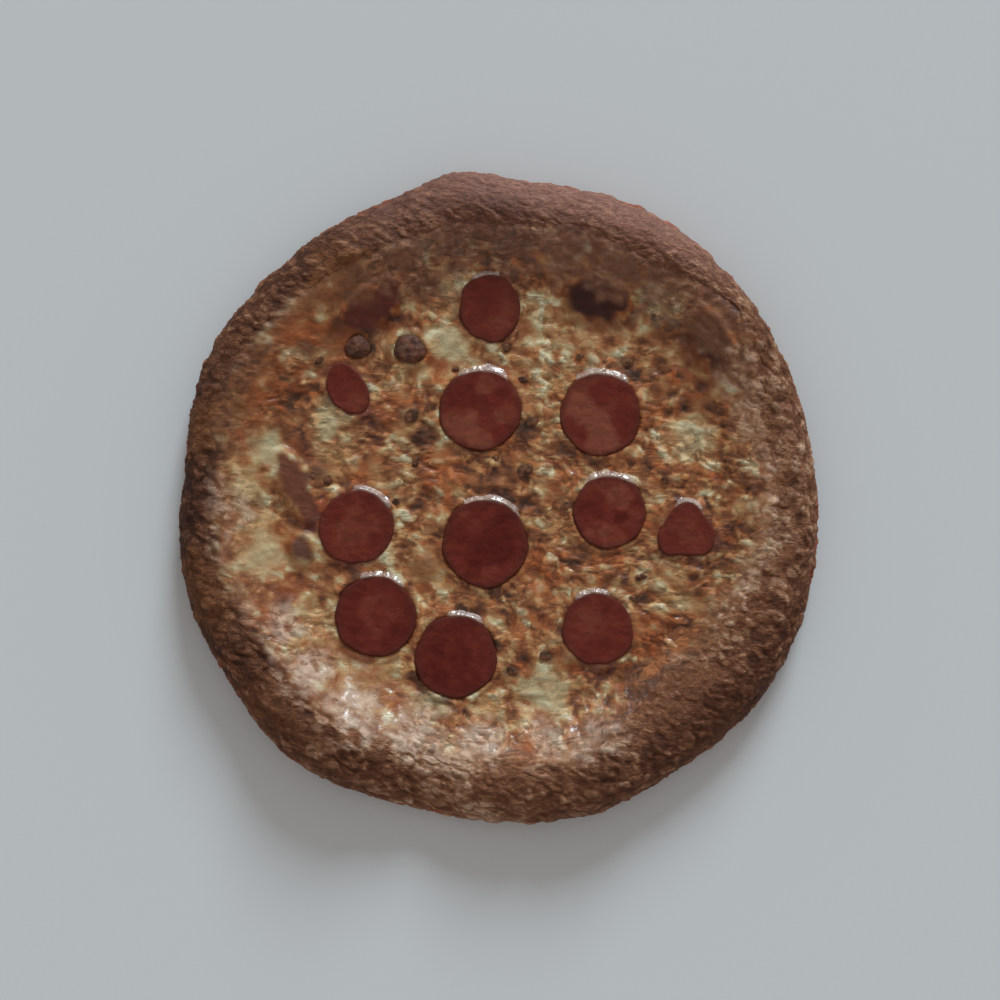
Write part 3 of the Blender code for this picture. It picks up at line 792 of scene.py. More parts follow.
def strands_at(x, y):
    """Relief and tint of the strands at points, read from spots that noise has shifted, and
    evened out where the cheese has run smooth."""
    points = flat(x, y)
    shift = [0.9 * noise(points, 4 * MM, s) + 2.2 * noise(points, 12 * MM, s + 1) for s in (43, 45)]
    warped_x, warped_y = (c + MAP_HALF + MM * s for c, s in zip((x, y), shift))
    kept = 1.0 - 0.6 * melted(x, y)
    relief, tint = (read_map(m, STRAND_CELL, warped_x, warped_y) for m in STRAND_MAPS)
    swirl = [7 * MM * noise(points, 26 * MM, s) for s in (57, 58)]
    value, border = shards(slanted(flat(warped_x + swirl[0], warped_y + swirl[1])), 3.4 * MM, 49)
    relief = 0.55 * relief + 0.45 * (0.25 + 0.75 * value) * smooth_step(border / 0.35)
    tint = 0.4 * tint + 0.6 * value
    low = 0.5 + 0.35 * noise(points, 7 * MM, 47)
    return low + (relief - low) * kept, 0.5 + (tint - 0.5) * (0.35 + 0.65 * kept)


# %% [markdown]
# ## Colours that the crust and the cheese share
#
# The cheese doesn't end in a line: it thins out, runs up the dough and browns with it. So one
# formula gives the colour at any spot of the pizza's top, and both pieces read it. Baked food
# is close to one scale of colours, from scorched over brown and tan to cream, so most of the
# work is to say how pale each spot is.

# %% Paleness scales
# Stops of a scale: (paleness, red, green, blue).
DOUGH_SCALE = [
    (0.00, 0.046, 0.013, 0.005), (0.30, 0.103, 0.032, 0.013), (0.55, 0.212, 0.080, 0.035),
    (0.78, 0.360, 0.180, 0.098), (1.00, 0.540, 0.340, 0.225),
]
CHEESE_SCALE = [
    (0.00, 0.056, 0.019, 0.008), (0.25, 0.157, 0.048, 0.016), (0.50, 0.330, 0.112, 0.037),
    (0.72, 0.460, 0.236, 0.092), (0.88, 0.565, 0.392, 0.198), (1.00, 0.665, 0.576, 0.365),
]
CHEESE_ORANGE = (0.420, 0.098, 0.020)
CHEESE_TOAST = (0.062, 0.030, 0.019)
CHEESE_AMBER = (0.330, 0.140, 0.050)
# Meat red that shows through the cheese, and painted shadow just below some slices.
CHEESE_RED_AND_SHADOW = (0.135, 0.024, 0.015)
GREEN_CREAM = (0.440, 0.435, 0.270)
# Pink of the dough, which on the far side's outer wall is also painted light.
DOUGH_PINK_AND_LIGHT = (0.360, 0.170, 0.130)
DOUGH_RUST = (0.330, 0.070, 0.030)
# Pale pink-white of flour, and of a painted highlight on the near inner slope, which faces the
# light.
DOUGH_FLOUR_AND_HIGHLIGHT = (0.660, 0.480, 0.365)
DOUGH_AMBER = (0.250, 0.090, 0.024)


def on_scale(paleness, scale):
    """The colour at each paleness, blended between the two nearest stops of the scale."""
    stops = np.array(scale)
    return np.stack([np.interp(paleness, stops[:, 0], stops[:, c]) for c in (1, 2, 3)], 1)


# %% Toppings that cheese has run over
# How far cheese covers them, and the colour that shows through it.
COVERS = {
    "pepperoni_02": (0.95, (0.120, 0.018, 0.009)), "pepperoni_03": (0.97, (0.036, 0.003, 0.001)),
    "pepperoni_04": (0.97, (0.058, 0.009, 0.003)), "pepperoni_15": (0.88, (0.160, 0.045, 0.020)),
    "pepperoni_07": (0.45, (0.150, 0.028, 0.017)), "pepperoni_11": (0.40, (0.150, 0.030, 0.018)),
    "pepperoni_01": (0.36, (0.130, 0.030, 0.018)), "pepperoni_14": (0.30, (0.150, 0.026, 0.016)),
    "pepperoni_08": (0.28, (0.160, 0.030, 0.017)), "meat_crumb_03": (0.85, (0.130, 0.050, 0.028)),
}

# %% Patches of the cheese
# Patches seen from above: (x, y, radius in mm, strength).
PALE_PATCHES = [
    (-22.8, 72.0, 10, 1.0), (90.0, 27.0, 13, 0.9), (-4.0, -98.0, 8, 0.8), (36.0, 52.0, 9, 0.6),
    (-117.0, 4.0, 10, 1.0), (-113.0, -12.0, 9, 0.9), (-79.2, 36.4, 10, 1.0),
    (-107.4, 22.3, 9, 0.9), (21.9, -90.5, 13, 1.0), (-32.2, -99.9, 9, 0.6),
    (80.6, -43.5, 10, 0.8), (-109.7, -26.0, 10, 1.0), (36.0, 80.0, 16, 0.6),
    (-55.0, 10.0, 9, 0.6), (-60.0, -80.0, 14, 0.8), (92.0, 64.0, 7, 0.7), (-85.0, -60.0, 12, 0.6),
    (-75.0, 20.0, 10, 0.6), (20.0, 60.0, 10, 0.4),
]
ORANGE_PATCHES = [
    (-27.5, 12.9, 9, 1.0), (-96.0, 77.0, 8, 0.9), (-86.0, 95.0, 8, 0.7), (-110.0, 60.0, 9, 0.6),
    (-27, -2, 6, 0.8), (-37, 51, 6, 0.6), (73, 38, 6, 0.6), (45, -34, 6, 0.6), (73, -44, 5, 0.6),
    (-10.0, 52.0, 6, 0.6), (4.0, 22.0, 6, 0.5), (64.0, 44.0, 6, 0.7), (-72.1, 69.0, 7, 0.5),
    (-98.0, 58.0, 11, 0.8), (5.4, 55.2, 7, 0.8), (78.3, 22.3, 8, 0.8), (19.5, -34.1, 10, 1.0),
    (-116.8, -10.6, 7, 0.5), (-98.0, -38.8, 9, 0.5), (19.5, -114.0, 12, 0.6),
    (71.2, -62.3, 9, 0.9), (-50.0, 45.0, 9, 0.6), (30.0, 10.0, 9, 0.5), (-112.0, 45.0, 10, 0.6),
    (-30.0, -52.0, 8, 0.5), (15.0, -62.0, 9, 0.6), (56.0, 17.0, 8, 0.4), (44.0, 62.0, 10, 0.4),
    (-25.0, 58.0, 7, 0.6),
]
TOAST_SPOTS = [
    (12.0, 12.5, 3.0, 0.9), (13.4, 34.1, 2.8, 0.8), (-84.8, 12.9, 4.6, 0.8),
    (-43.9, 38.8, 4.0, 0.6), (-33.0, -30.5, 2.6, 0.4), (21.9, -74.0, 3.0, 1.0),
    (6.3, -81.1, 3.4, 0.9), (-90.0, 70.0, 4.0, 0.5), (28.0, -2.0, 3.6, 0.5),
    (0.0, 64.0, 3.0, 0.5), (60.0, 62.0, 4.0, 0.6), (-46.0, 0.0, 3.4, 0.5),
]
MELTED_PATCHES = [
    (-100, -30, 26, 1.0), (-72, -92, 26, 0.9), (-108, 22, 18, 0.9), (-34, -33, 13, 1.0),
    (-23, 69, 12, 0.9), (18, -90, 15, 0.7), (45, 98, 26, 0.9), (98, 60, 22, 0.9),
    (-82, 90, 24, 0.9),
]
# Scorched patches: darker cheese, and on the far side, at (46, 94), (98, 74), (-62, 92), (8, 108)
# and (-38, 98), painted shade of the far inner slope.
SCORCHED_AND_SHADE_PATCHES = [
    (46, 94, 18, 0.8), (98, 74, 18, 0.8), (-62, 92, 20, 0.95), (8, 108, 14, 0.6),
    (74, 58, 9, 0.5), (66, -88, 15, 0.8), (-56, -84, 8, 0.6), (100, -20, 10, 0.3),
    (-33, -97, 8, 0.6), (78, -72, 9, 0.6), (-38, 98, 9, 0.8), (-97, -46, 6, 0.8),
    (-106, 50, 16, 0.7), (70, 40, 8, 0.3), (-36, 6, 9, 0.3), (-40, 38, 7, 0.4), (-60, 12, 8, 0.3),
]
# Red patches: meat red that shows through the cheese, and the small ones just below slices, at
# (-70, -31), (-63, -73), (46, -79) and (-60, 38), painted shadows of the slices.
RED_AND_SHADOW_PATCHES = [
    (-86, -9, 7, 1.0), (-92, 2, 6, 0.7), (-92, -24, 5, 0.7), (-70, -31, 5, 0.6),
    (-63, -73, 7, 0.7), (46, -79, 6, 0.6), (-97, -44, 5, 0.45), (-60, 38, 5, 0.6),
    (48, 92, 12, 0.4), (97, 74, 12, 0.4), (-60, 90, 12, 0.4), (-92, 20, 6, 0.4),
    (14, -28, 5, 0.4), (105, -20, 5, 0.4),
]
GREEN_PATCHES = [
    (-22, 69, 7, 0.6), (22, -90, 9, 0.8), (-32, -99, 8, 0.8), (-108, 23, 7, 0.8),
    (-79, 36, 8, 0.7), (-22, 99, 7, 0.6), (90, 27, 8, 0.5), (74, 92, 10, 0.6),
    (-110, -29, 9, 0.4),
]
# Smooth blisters: (x, y, radius, height in mm).
BLISTERS = [(-34.5, -32.2, 7.0, 1.3), (-48.0, -60.0, 4.0, 0.6), (62.0, -8.0, 3.5, 0.5)]


# %% Colour of the cheese at any spot
def melted(x, y):
    """How smooth the cheese has run: 1 where no shred shows."""
    points = flat(x, y)
    run = spots(x, y, MELTED_PATCHES, noise(points, 9 * MM, 37))
    return np.maximum(run, patchy(points, 17 * MM, 38, 0.1, 0.6))


def cheese_colour(x, y, relief, tint):
    """The cheese's scale, paler on pale shreds, and paler on high ones with painted shade in the
    low gaps, in patches of several sizes, among them painted shade on the far side and painted
    shadows just below some slices, with oil that stains it orange and toasted spots."""
    points = flat(x, y)
    ragged = noise(points, 6 * MM, 31)
    medium, broad = noise(points, 8 * MM, 32), noise(points, 20 * MM, 39)
    # The relief term makes high strands paler and the low gaps between them darker: painted shade.
    paleness = 0.54 + 0.42 * medium + 0.18 * broad + 0.60 * (tint - 0.5) + 0.58 * (relief - 0.45)
    paleness += 0.10 * smooth_step((y - 45 * MM) / (30 * MM))
    family, _ = shards(slanted(points), 4.8 * MM, 55)
    paleness += 0.32 * (family - 0.45)
    pale = spots(x, y, PALE_PATCHES, ragged)
    paleness += pale * (0.95 - paleness) * 0.75
    # On the far side these patches are painted shade of the far inner slope; elsewhere they darken
    # the cheese in patches.
    paleness -= 0.42 * spots(x, y, SCORCHED_AND_SHADE_PATCHES, ragged)
    colour = on_scale(np.clip(paleness, 0, 1), CHEESE_SCALE)
    green = 0.75 * spots(x, y, GREEN_PATCHES, ragged) * smooth_step(0.2 + tint)
    colour = mixed(colour, GREEN_CREAM, green)
    blistered = spots(x, y, [b[:3] + (1.0,) for b in BLISTERS], 0.3 * ragged)
    colour = mixed(colour, CHEESE_AMBER, 0.8 * blistered)
    # Red that shows through, and painted shadows just below some slices.
    colour = mixed(colour, CHEESE_RED_AND_SHADOW, 0.95 * spots(x, y, RED_AND_SHADOW_PATCHES, ragged))
    stained = spots(x, y, ORANGE_PATCHES, ragged) * smooth_step((0.85 - tint) / 0.3)
    speckled = 0.8 * smooth_step((noise(points, 5 * MM, 40) + tint - 0.85) / 0.3)
    angular = 0.8 * smooth_step((0.30 - family) / 0.08) * patchy(points, 22 * MM, 56)
    stained = np.maximum(np.maximum(stained, speckled), angular)
    colour = mixed(colour, CHEESE_ORANGE, stained * (0.50 + 0.45 * relief) * (1 - 0.7 * pale))
    for topping in SLICES + CRUMBS:
        if topping[0] in COVERS:
            cover, shown = COVERS[topping[0]]
            edge = (2.0 * MM - beyond_edge(topping, x, y) + 2.5 * MM * ragged) / (4.5 * MM)
            seen = (1.05 + 0.25 * medium) * smooth_step(edge) * min(2.2 * cover, 1.0)
            colour = mixed(colour, shown, np.clip(seen, 0, 0.97))
    toasted = spots(x, y, TOAST_SPOTS, ragged)
    specks = patchy(points, 4.5 * MM, 33, 0.35, 0.7) * patchy(points, 25 * MM, 34, -0.3, 0.4)
    return mixed(colour, CHEESE_TOAST, np.clip(toasted * 0.75 + 0.25 * specks, 0, 0.85))


# %% Patches and tones of the dough
# Tones round the pizza: (bearing in degrees, amount in thousandths, half-width in degrees). The
# pale tone at 264 degrees is painted light on the near wall, which faces away from the lamp.
RIM_TONES_AND_LIGHT = [
    (10, 220, 26), (58, 120, 22), (92, -110, 16), (122, -50, 14), (173, -280, 18),
    (205, -130, 14), (322, -60, 18), (264, 290, 22),
]
RUST_TONES = [
    (45, 450, 35), (90, 300, 30), (200, 150, 30), (245, 220, 20), (0, 300, 25), (130, 250, 25),
]
# Patches seen from above: (x, y, radius in mm, strength).
# Brown patches: browner dough, and along the far inner slope, from (-70, 101) to (100, 82), painted
# shade of that slope, which faces away from the light.
BROWN_AND_SHADE_PATCHES = [
    (95, -95, 20, 0.7), (30, -142, 18, 0.3), (-20, 122, 20, 0.5), (64, 108, 20, 0.9),
    (-66, 100, 14, 0.5), (0, 114, 18, 0.8), (-84, 72, 8, 0.3), (76, -88, 12, 0.7),
    (118, 8, 10, 0.3), (60, -100, 10, 0.8), (-112, 44, 14, 0.6), (-70, 101, 14, 0.8),
    (0, -132, 12, 0.8), (8, -127, 9, 0.8), (-129, -46, 8, 0.7), (68, 106, 12, 0.6),
    (-125, 62, 14, 0.7), (-130, 42, 14, 0.7), (100, 82, 14, 0.6), (-30, 116, 14, 0.7),
    (36, 114, 12, 0.6), (43, -100, 9, 0.7), (66, -86, 9, 0.8), (94, -67, 8, 0.7),
]
AMBER_PATCHES = [
    (-98, 62, 14, 0.9), (-113, 42, 14, 0.9), (-117, 20, 10, 0.7), (-78, 86, 13, 0.8),
    (-138, 32, 11, 0.6), (-137, -42, 18, 0.5), (-110, -100, 18, 0.3), (-70, 102, 14, 0.7),
]
# Flour patches, mostly on the near inner slope: flour dust, and a painted highlight of the light's
# glare on that slope, which faces the light.
FLOUR_AND_HIGHLIGHT_PATCHES = [
    (-86, -82, 12, 1.0), (-66, -99, 13, 1.0), (-40, -110, 12, 1.0), (-8, -113, 10, 0.8),
    (20, -112, 9, 0.6), (-125, 3, 9, 1.0), (-122, -12, 10, 1.0), (-113, -32, 8, 0.8),
    (-102, -54, 9, 0.8), (46, -112, 10, 0.8), (108, -30, 9, 0.3), (-96, -68, 10, 0.8),
    (-127, -22, 8, 0.4), (-117, -48, 7, 0.4),
]
# Where the bread shows through inside the cheese's edge: (x, y, radius in mm, strength).
BARE_PATCHES = [
    (-45, 113, 13, 0.9), (-20, 119, 14, 0.95), (5, 121, 14, 0.95), (30, 117, 13, 0.95),
    (55, 107, 13, 0.9), (78, 97, 12, 0.8), (98, 80, 11, 0.7), (113, 60, 12, 0.9),
    (120, 38, 10, 0.7), (-65, 101, 12, 0.7), (-121, 66, 13, 0.8), (-128, 42, 13, 0.9),
    (-119, 26, 7, 0.5), (-37, 101, 9, 0.9), (110, -56, 12, 0.6), (84, -88, 12, 0.8),
    (-86, -80, 10, 0.8), (-66, -97, 10, 0.8), (-38, -108, 11, 0.8), (-8, -112, 10, 0.8),
    (22, -111, 10, 0.7), (-100, -58, 8, 0.7), (46, -108, 9, 0.6), (-120, -6, 8, 0.5),
]
# How far up the wall rust reaches: (bearing in degrees, mm, half-width in degrees).
RUST_REACH = [(50, 3.0, 32), (130, 2, 20), (350, 2, 20)]


# %% Colour of the dough, and how much cheese covers it
def crust_colour(points, bearing, relief, tint):
    """The dough's scale, paler on the inner slope and on high wrinkles, with painted shade in the
    low gaps between them. Tones change round the pizza, and the near wall's paler tone is painted
    light. Patches add painted shade on the far inner slope, and flour with a painted highlight
    mostly on the near one. The far side is pink, partly painted light, and rust runs along the
    bottom edge."""
    x, y = points[:, 0], points[:, 1]
    ragged = noise(points, 6 * MM, 31)
    _, radius = bearing_and_radius(x, y)
    inset = outline_radius(bearing) - radius
    slope = smooth_step((inset - 0.72 * crest_inset(bearing)) / (17 * MM))
    # The tones round the pizza include painted light: the near wall, which faces away from the
    # lamp, is made paler.
    paleness = 0.36 + 0.30 * slope + bumps(bearing, RIM_TONES_AND_LIGHT) + 0.10 * noise(points, 24 * MM, 21)
    # Paler on high wrinkles and darker in the low gaps: partly the flakes' own tone, partly painted
    # shade.
    paleness += 0.80 * (relief - 0.45) + 0.30 * (tint - 0.5) + 0.08 * ragged
    # The flour patches, paler on high relief, also paint the glare on the slope that faces the
    # light.
    flour_and_highlight = spots(x, y, FLOUR_AND_HIGHLIGHT_PATCHES, ragged)
    paleness += flour_and_highlight * (0.85 - paleness) * (0.35 + 0.5 * relief)
    # Along the far inner slope these patches are painted shade; elsewhere they are browner dough.
    brown = spots(x, y, BROWN_AND_SHADE_PATCHES, ragged)
    paleness += brown * (0.40 - paleness) * 0.8
    colour = on_scale(np.clip(paleness, 0, 1), DOUGH_SCALE)
    colour = mixed(colour, DOUGH_AMBER, 0.7 * spots(x, y, AMBER_PATCHES, ragged))
    dust_and_highlight = 0.8 * flour_and_highlight * smooth_step((relief + 0.4 * ragged - 0.25) / 0.4)
    colour = mixed(colour, DOUGH_FLOUR_AND_HIGHLIGHT, dust_and_highlight)
    # The pink on the far side's outer wall, which faces the light, is partly the dough's tone and
    # partly painted light.
    far = smooth_step((y - 80 * MM) / (50 * MM)) * smooth_step((x + 90 * MM) / (90 * MM))
    outer = 1.0 - smooth_step((inset - 9 * MM) / (12 * MM))
    colour = mixed(colour, DOUGH_PINK_AND_LIGHT, (0.20 + 0.35 * outer) * far + 0.2 * smooth_step(tint - 0.5))
    band = 1.0 - smooth_step((points[:, 2] - 8 * MM - bumps(bearing, RUST_REACH)) / (5 * MM))
    band *= smooth_step((points[:, 2] - 2.5 * MM) / (5 * MM))
    rust = band * (0.15 + bumps(bearing, RUST_TONES) + 2.0 * noise(points, 6 * MM, 22))
    return mixed(colour, DOUGH_RUST, np.clip(rust, 0, 0.65))


def cheese_cover(x, y):
    """0 on the bread and 1 on the sheet, in a ragged band that noise moves in and out, and lower
    where bread shows through."""
    points = flat(x, y)
    bearing, radius = bearing_and_radius(x, y)
    inward = outline_radius(bearing) - radius - cheese_inset(bearing)
    ragged = 5.0 * MM * noise(points, 10 * MM, 35) + 3.0 * MM * noise(points, 4 * MM, 36)
    bare = spots(x, y, BARE_PATCHES, noise(points, 6 * MM, 31))
    return smooth_step((inward + ragged + 10.0 * MM) / (18.0 * MM)) * (1.0 - bare)


def top_relief(points):
    """Relief and tint at spots of the pizza's top: the dough's, the cheese's, or between."""
    x, y = points[:, 0], points[:, 1]
    pairs = zip(dough_relief(points), strands_at(x, y))
    return [dough + (cheese - dough) * cheese_cover(x, y) for dough, cheese in pairs]


def top_colour(points, bearing, relief, tint):
    """Colour at a spot of the pizza's top: dough, and cheese where it covers the dough."""
    x, y = points[:, 0], points[:, 1]
    above = smooth_step(points[:, 2] / (4 * MM))
    dough = crust_colour(points, bearing, relief, tint)
    return mixed(dough, cheese_colour(x, y, relief, tint), cheese_cover(x, y) * above)


# %% [markdown]
# ## Crust
#
# The rim is bread: it puffed up, dried and browned on top, and its skin cracked into small
# overlapping flakes, pale where they curl up and dark in between; that dark is partly the
# flakes' own tone and partly painted shade. It stays one closed surface, a grid of bearings
# round the pizza and stations from the floor's middle over the crest to the middle of the
# underside, pushed in and out by the relief.

# %% Stations along the crust's profile
BEARINGS = 1000
FLOOR_STATIONS = 4
SLOPE_STATIONS = 43
WALL_STATIONS = 40
FOOT_STATIONS = 5
UNDERSIDE_STATIONS = 5
SAUCE_OVERLAP = 5.0 * MM


def crust_profile(bearing):
    """Rows of (x, y, z) from the floor's middle to the underside's: the floor, the inner slope,
    the wall as a quarter of a swollen ellipse, the foot that turns in, and the underside."""
    outline = outline_radius(bearing)
    crest, height = crest_inset(bearing), rim_height(bearing)
    inner = sauce_inset(bearing) + SAUCE_OVERLAP
    rows = []
    for share in np.linspace(0.0, 1.0, FLOOR_STATIONS, endpoint=False):
        x, y = at_bearing(bearing, (outline - inner) * share)
        rows.append([x, y, crust_level(x, y), 0 * x])
    lip = sauce_inset(bearing) - RECESS_LIP_WIDTH
    for share in np.linspace(0.0, 1.0, SLOPE_STATIONS, endpoint=False):
        inset = inner + (crest - inner) * share
        x, y = at_bearing(bearing, outline - inset)
        rows.append([x, y, crust_level(x, y), np.clip((lip - inset) / (lip - crest), 0.0, 1.0)])
    for turn in np.linspace(0, math.pi / 2, WALL_STATIONS):
        x, y = at_bearing(bearing, outline - crest * (1.0 - math.sin(turn)))
        level = WIDEST_LEVEL + (height - WIDEST_LEVEL) * max(math.cos(turn), 0.0) ** WALL_SWELL
        rows.append([x, y, level, 1.0 + 0 * x])
    for turn in np.linspace(0, math.pi / 2, FOOT_STATIONS + 1)[1:]:
        x, y = at_bearing(bearing, outline - FOOT_INSET * (1.0 - math.cos(turn)))
        rows.append([x, y, np.full_like(x, WIDEST_LEVEL * (1.0 - math.sin(turn))), 1.0 + 0 * x])
    for share in np.linspace(1.0, 0.0, UNDERSIDE_STATIONS + 1)[1:]:
        x, y = at_bearing(bearing, (outline - FOOT_INSET) * share)
        rows.append([x, y, 0 * x, 0 * x])
    return np.array(rows).transpose(0, 2, 1)


def with_crags(rows, bearing):
    """The profile with the crags that the solid has: lumps in height, and a push in and out."""
    flat_rows = rows.reshape(-1, 4)
    points, share = flat_rows[:, :3].copy(), flat_rows[:, 3]
    off_the_foot = np.clip(points[:, 2] / (14 * MM), 0.0, 1.0)
    pushed = 1.0 * MM * noise(points, 9 * MM, NOISE_SEED + 7) * off_the_foot
    pushed *= outwardness(points[:, 0], points[:, 1])
    around = np.tile(bearing, len(rows))
    lifted = crags(points) * np.where(share >= 1.0, off_the_foot, share)
    push = np.stack([pushed * np.cos(around), pushed * np.sin(around), lifted], 1)
    return (points + push).reshape(len(rows), -1, 3)


def outwardness(x, y):
    """0 inside the crest, growing to 1 at the outline."""
    bearing, radius = bearing_and_radius(x, y)
    return np.clip(1.0 - (outline_radius(bearing) - radius) / crest_inset(bearing), 0.0, 1.0)


def grid_normals(points):
    """Unit normals of a grid that is closed round its columns, by crossing its two directions."""
    round_way = np.roll(points, -1, 1) - np.roll(points, 1, 1)
    out_way = np.gradient(points, axis=0)
    normals = np.cross(out_way, round_way)
    return normals / np.maximum(np.linalg.norm(normals, axis=2, keepdims=True), 1e-12)


# %% The crust's relief and its piece
CRUST_RELIEF = 2.0 * MM
CRUST_UNDER = (0.300, 0.160, 0.075)


def beyond_cheese(x, y):
    """Distance of points outside the cheese's edge, negative on the cheese."""
    bearing, radius = bearing_and_radius(x, y)
    return radius - outline_radius(bearing) + cheese_inset(bearing)


def skin_lift(x, y, relief):
    """How far relief lifts the dough's skin. It starts a little outside the cheese."""
    outside = smooth_step((beyond_cheese(x, y) - 2.5 * MM) / (5 * MM))
    return (relief - 0.8) * CRUST_RELIEF * outside


def crust_shell(bearing):
    """The crust's points with its relief, and the relief and tint at each. Relief lifts straight
    up inside the crest, and turns to the wall's own outward direction beyond it."""
    rows = crust_profile(bearing)
    points = with_crags(rows, bearing)
    spot = points.reshape(-1, 3)
    x, y, z = spot.T
    relief, tint = top_relief(spot)
    out = (outwardness(x, y) + (z < WIDEST_LEVEL))[:, None].clip(0, 1)
    normals = grid_normals(points).reshape(-1, 3)
    lift = skin_lift(x, y, relief) * np.clip(z / (5 * MM), 0, 1)
    points = spot + (normals * out + (0.0, 0.0, 1.0) * (1.0 - out)) * lift[:, None]
    points = np.clip(points, *np.array([list(corner) for corner in solid_box]))
    shape = rows.shape[:2]
    return points.reshape(*shape, 3), relief.reshape(shape), tint.reshape(shape)


def baked_crust():
    """The crust's piece: its shell, coloured as the pizza's top and plain brown underneath."""
    bearing = np.linspace(-math.pi, math.pi, BEARINGS, endpoint=False)
    points, relief, tint = crust_shell(bearing)
    rows = len(points)
    around = np.tile(bearing, (rows, 1))
    spot, relief, tint, around = (with_poles(v) for v in (points, relief, tint, around))
    colour = top_colour(spot, around, relief, tint)
    under = smooth_step((0.3 * MM - spot[:, 2]) / (0.2 * MM))
    baked = patchy(spot, 12 * MM, 23, 0.0, 0.35)
    colour = mixed(colour, mixed(CRUST_UNDER, DOUGH_AMBER, baked), under)
    wetness = 0.6 * cheese_cover(spot[:, 0], spot[:, 1])
    grain, flakes, crinkle = (1.6 * MM, 0.9), (2.2 * MM, 0.55, 0.5 * MM), (1.6 * MM, 0.5 * MM)
    skin = food_material("baked_skin", grain, flakes, crinkle, (0.65, 0.3), 0.25)
    faces = shell_faces(rows, BEARINGS)
    piece = mesh_piece("crust_skin", spot, faces, skin, "baked_crust", colour, wetness)
    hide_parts("crust")


baked_crust()

# %% [markdown]
# ## Sauce
#
# Only a thin wet line of sauce shows outside the cheese, where oil and tomato ran up the dough.
# It keeps the solid's own form and gets a wet red-orange finish.

# %% Finish of the sauce
SAUCE_RED = (0.240, 0.075, 0.028)


def wet_sauce():
    """Grain on a red-orange ground, smooth enough to look wet."""
    made, shader = new_material("wet_tomato_sauce", 0.30)
    tree = made.node_tree
    grain = group_node(tree, GRAIN, Size=2.0 * MM, Amount=1.2)
    grain.inputs["Colour"].default_value = (*SAUCE_RED, 1.0)
    tree.links.new(grain.outputs["Colour"], shader.inputs["Base Color"])
    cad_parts["sauce"].material_slots[0].material = made


wet_sauce()

# %% [markdown]
# ## Cheese
#
# Grated cheese melts into a sheet that still shows its shreds: short, matted, half-sunk strokes,
# cream where they are thick, orange where oil pooled between them, and toasted brown on the high
# ones. The colour is paler on high strands and darker in the low gaps, which is painted shade. Its
# surface is a square of two parameters wrapped onto a disc, which keeps its cells the same size
# everywhere, where a plain fan of rays would crowd them in the middle.

# %% A square grid wrapped onto the cheese's plan
CHEESE_SIDE = 300
FILM_RISE = 0.75 * MM
FILM_REACH = 13.0 * MM
FILM_TUCK = 0.8 * MM


def disc_from_square(side):
    """Points (share of the radius, bearing) for a grid on a square: rings of the square become
    circles, share = the larger of |a| and |b|, bearing = 45 degrees * the smaller / the larger."""
    a, b = np.meshgrid(np.linspace(-1, 1, side), np.linspace(-1, 1, side), indexing="ij")
    wide = np.abs(a) >= np.abs(b)
    larger, smaller = np.where(wide, a, b), np.where(wide, b, a)
    turn = math.pi / 4 * smaller / np.where(larger == 0, 1, larger)
    along, aside = larger * np.cos(turn), larger * np.sin(turn)
    x, y = np.where(wide, along, aside), np.where(wide, aside, along)
    return np.hypot(x, y).ravel(), np.arctan2(y, x).ravel()


def square_border(side):
    """Numbers of a square grid's outer points, once round, anticlockwise from above."""
    index = np.arange(side**2).reshape(side, side)
    return np.concatenate([index[:-1, 0], index[-1, :-1], index[:0:-1, -1], index[0, :0:-1]])


# %% Height of the sheet, with the toppings in it
# Where melted fat has piled up against a slice: (slice, bearing and half-width in degrees, mm).
LIP_BULGES = [
    (5, 84, 30, 1.0), (6, 86, 30, 1.0), (10, 88, 32, 1.1), (9, 68, 22, 0.7), (9, 104, 12, 0.4),
    (8, 62, 26, 0.6), (12, 80, 26, 0.7), (11, 84, 24, 0.4), (14, 98, 22, 0.5), (13, 76, 20, 0.5),
    (1, 96, 20, 0.4),
]


def lip_bulge(topping, bearing):
    """How much fat has piled up against a topping at each bearing: a sum of smooth swellings."""
    swells = [(b[1], b[3], b[2]) for b in LIP_BULGES if topping[0] == f"pepperoni_{b[0]:02d}"]
    return bumps(bearing, swells)


HALF_BURIED = 0.5


def topping_top(topping):
    """Height of a topping's top over its bed."""
    if topping in SLICES:
        return LAYER_GAP + SLICE_THICKNESS
    return LAYER_GAP + 0.55 * topping[4] * MM


def run_over(topping, points, beyond):
    """Height over its bed of the cheese on a topping: its top, plus or minus by how far cheese
    covers it and by noise, and less towards its middle, or all over one that is buried."""
    cover = COVERS.get(topping[0], (0.0,))[0]
    if not cover:
        return 0.0 * beyond
    if cover > HALF_BURIED:
        return topping_top(topping) + (0.55 + 0.25 * noise(points, 5 * MM, 54)) * MM
    spread = 0.9 * (2.0 * cover - 1.0) + 0.7 * noise(points, 5 * MM, 54)
    spread -= (2.2 - 1.9 * cover) * smooth_step(-beyond / (5 * MM))
    return np.maximum(topping_top(topping) + spread * MM, 0.0)


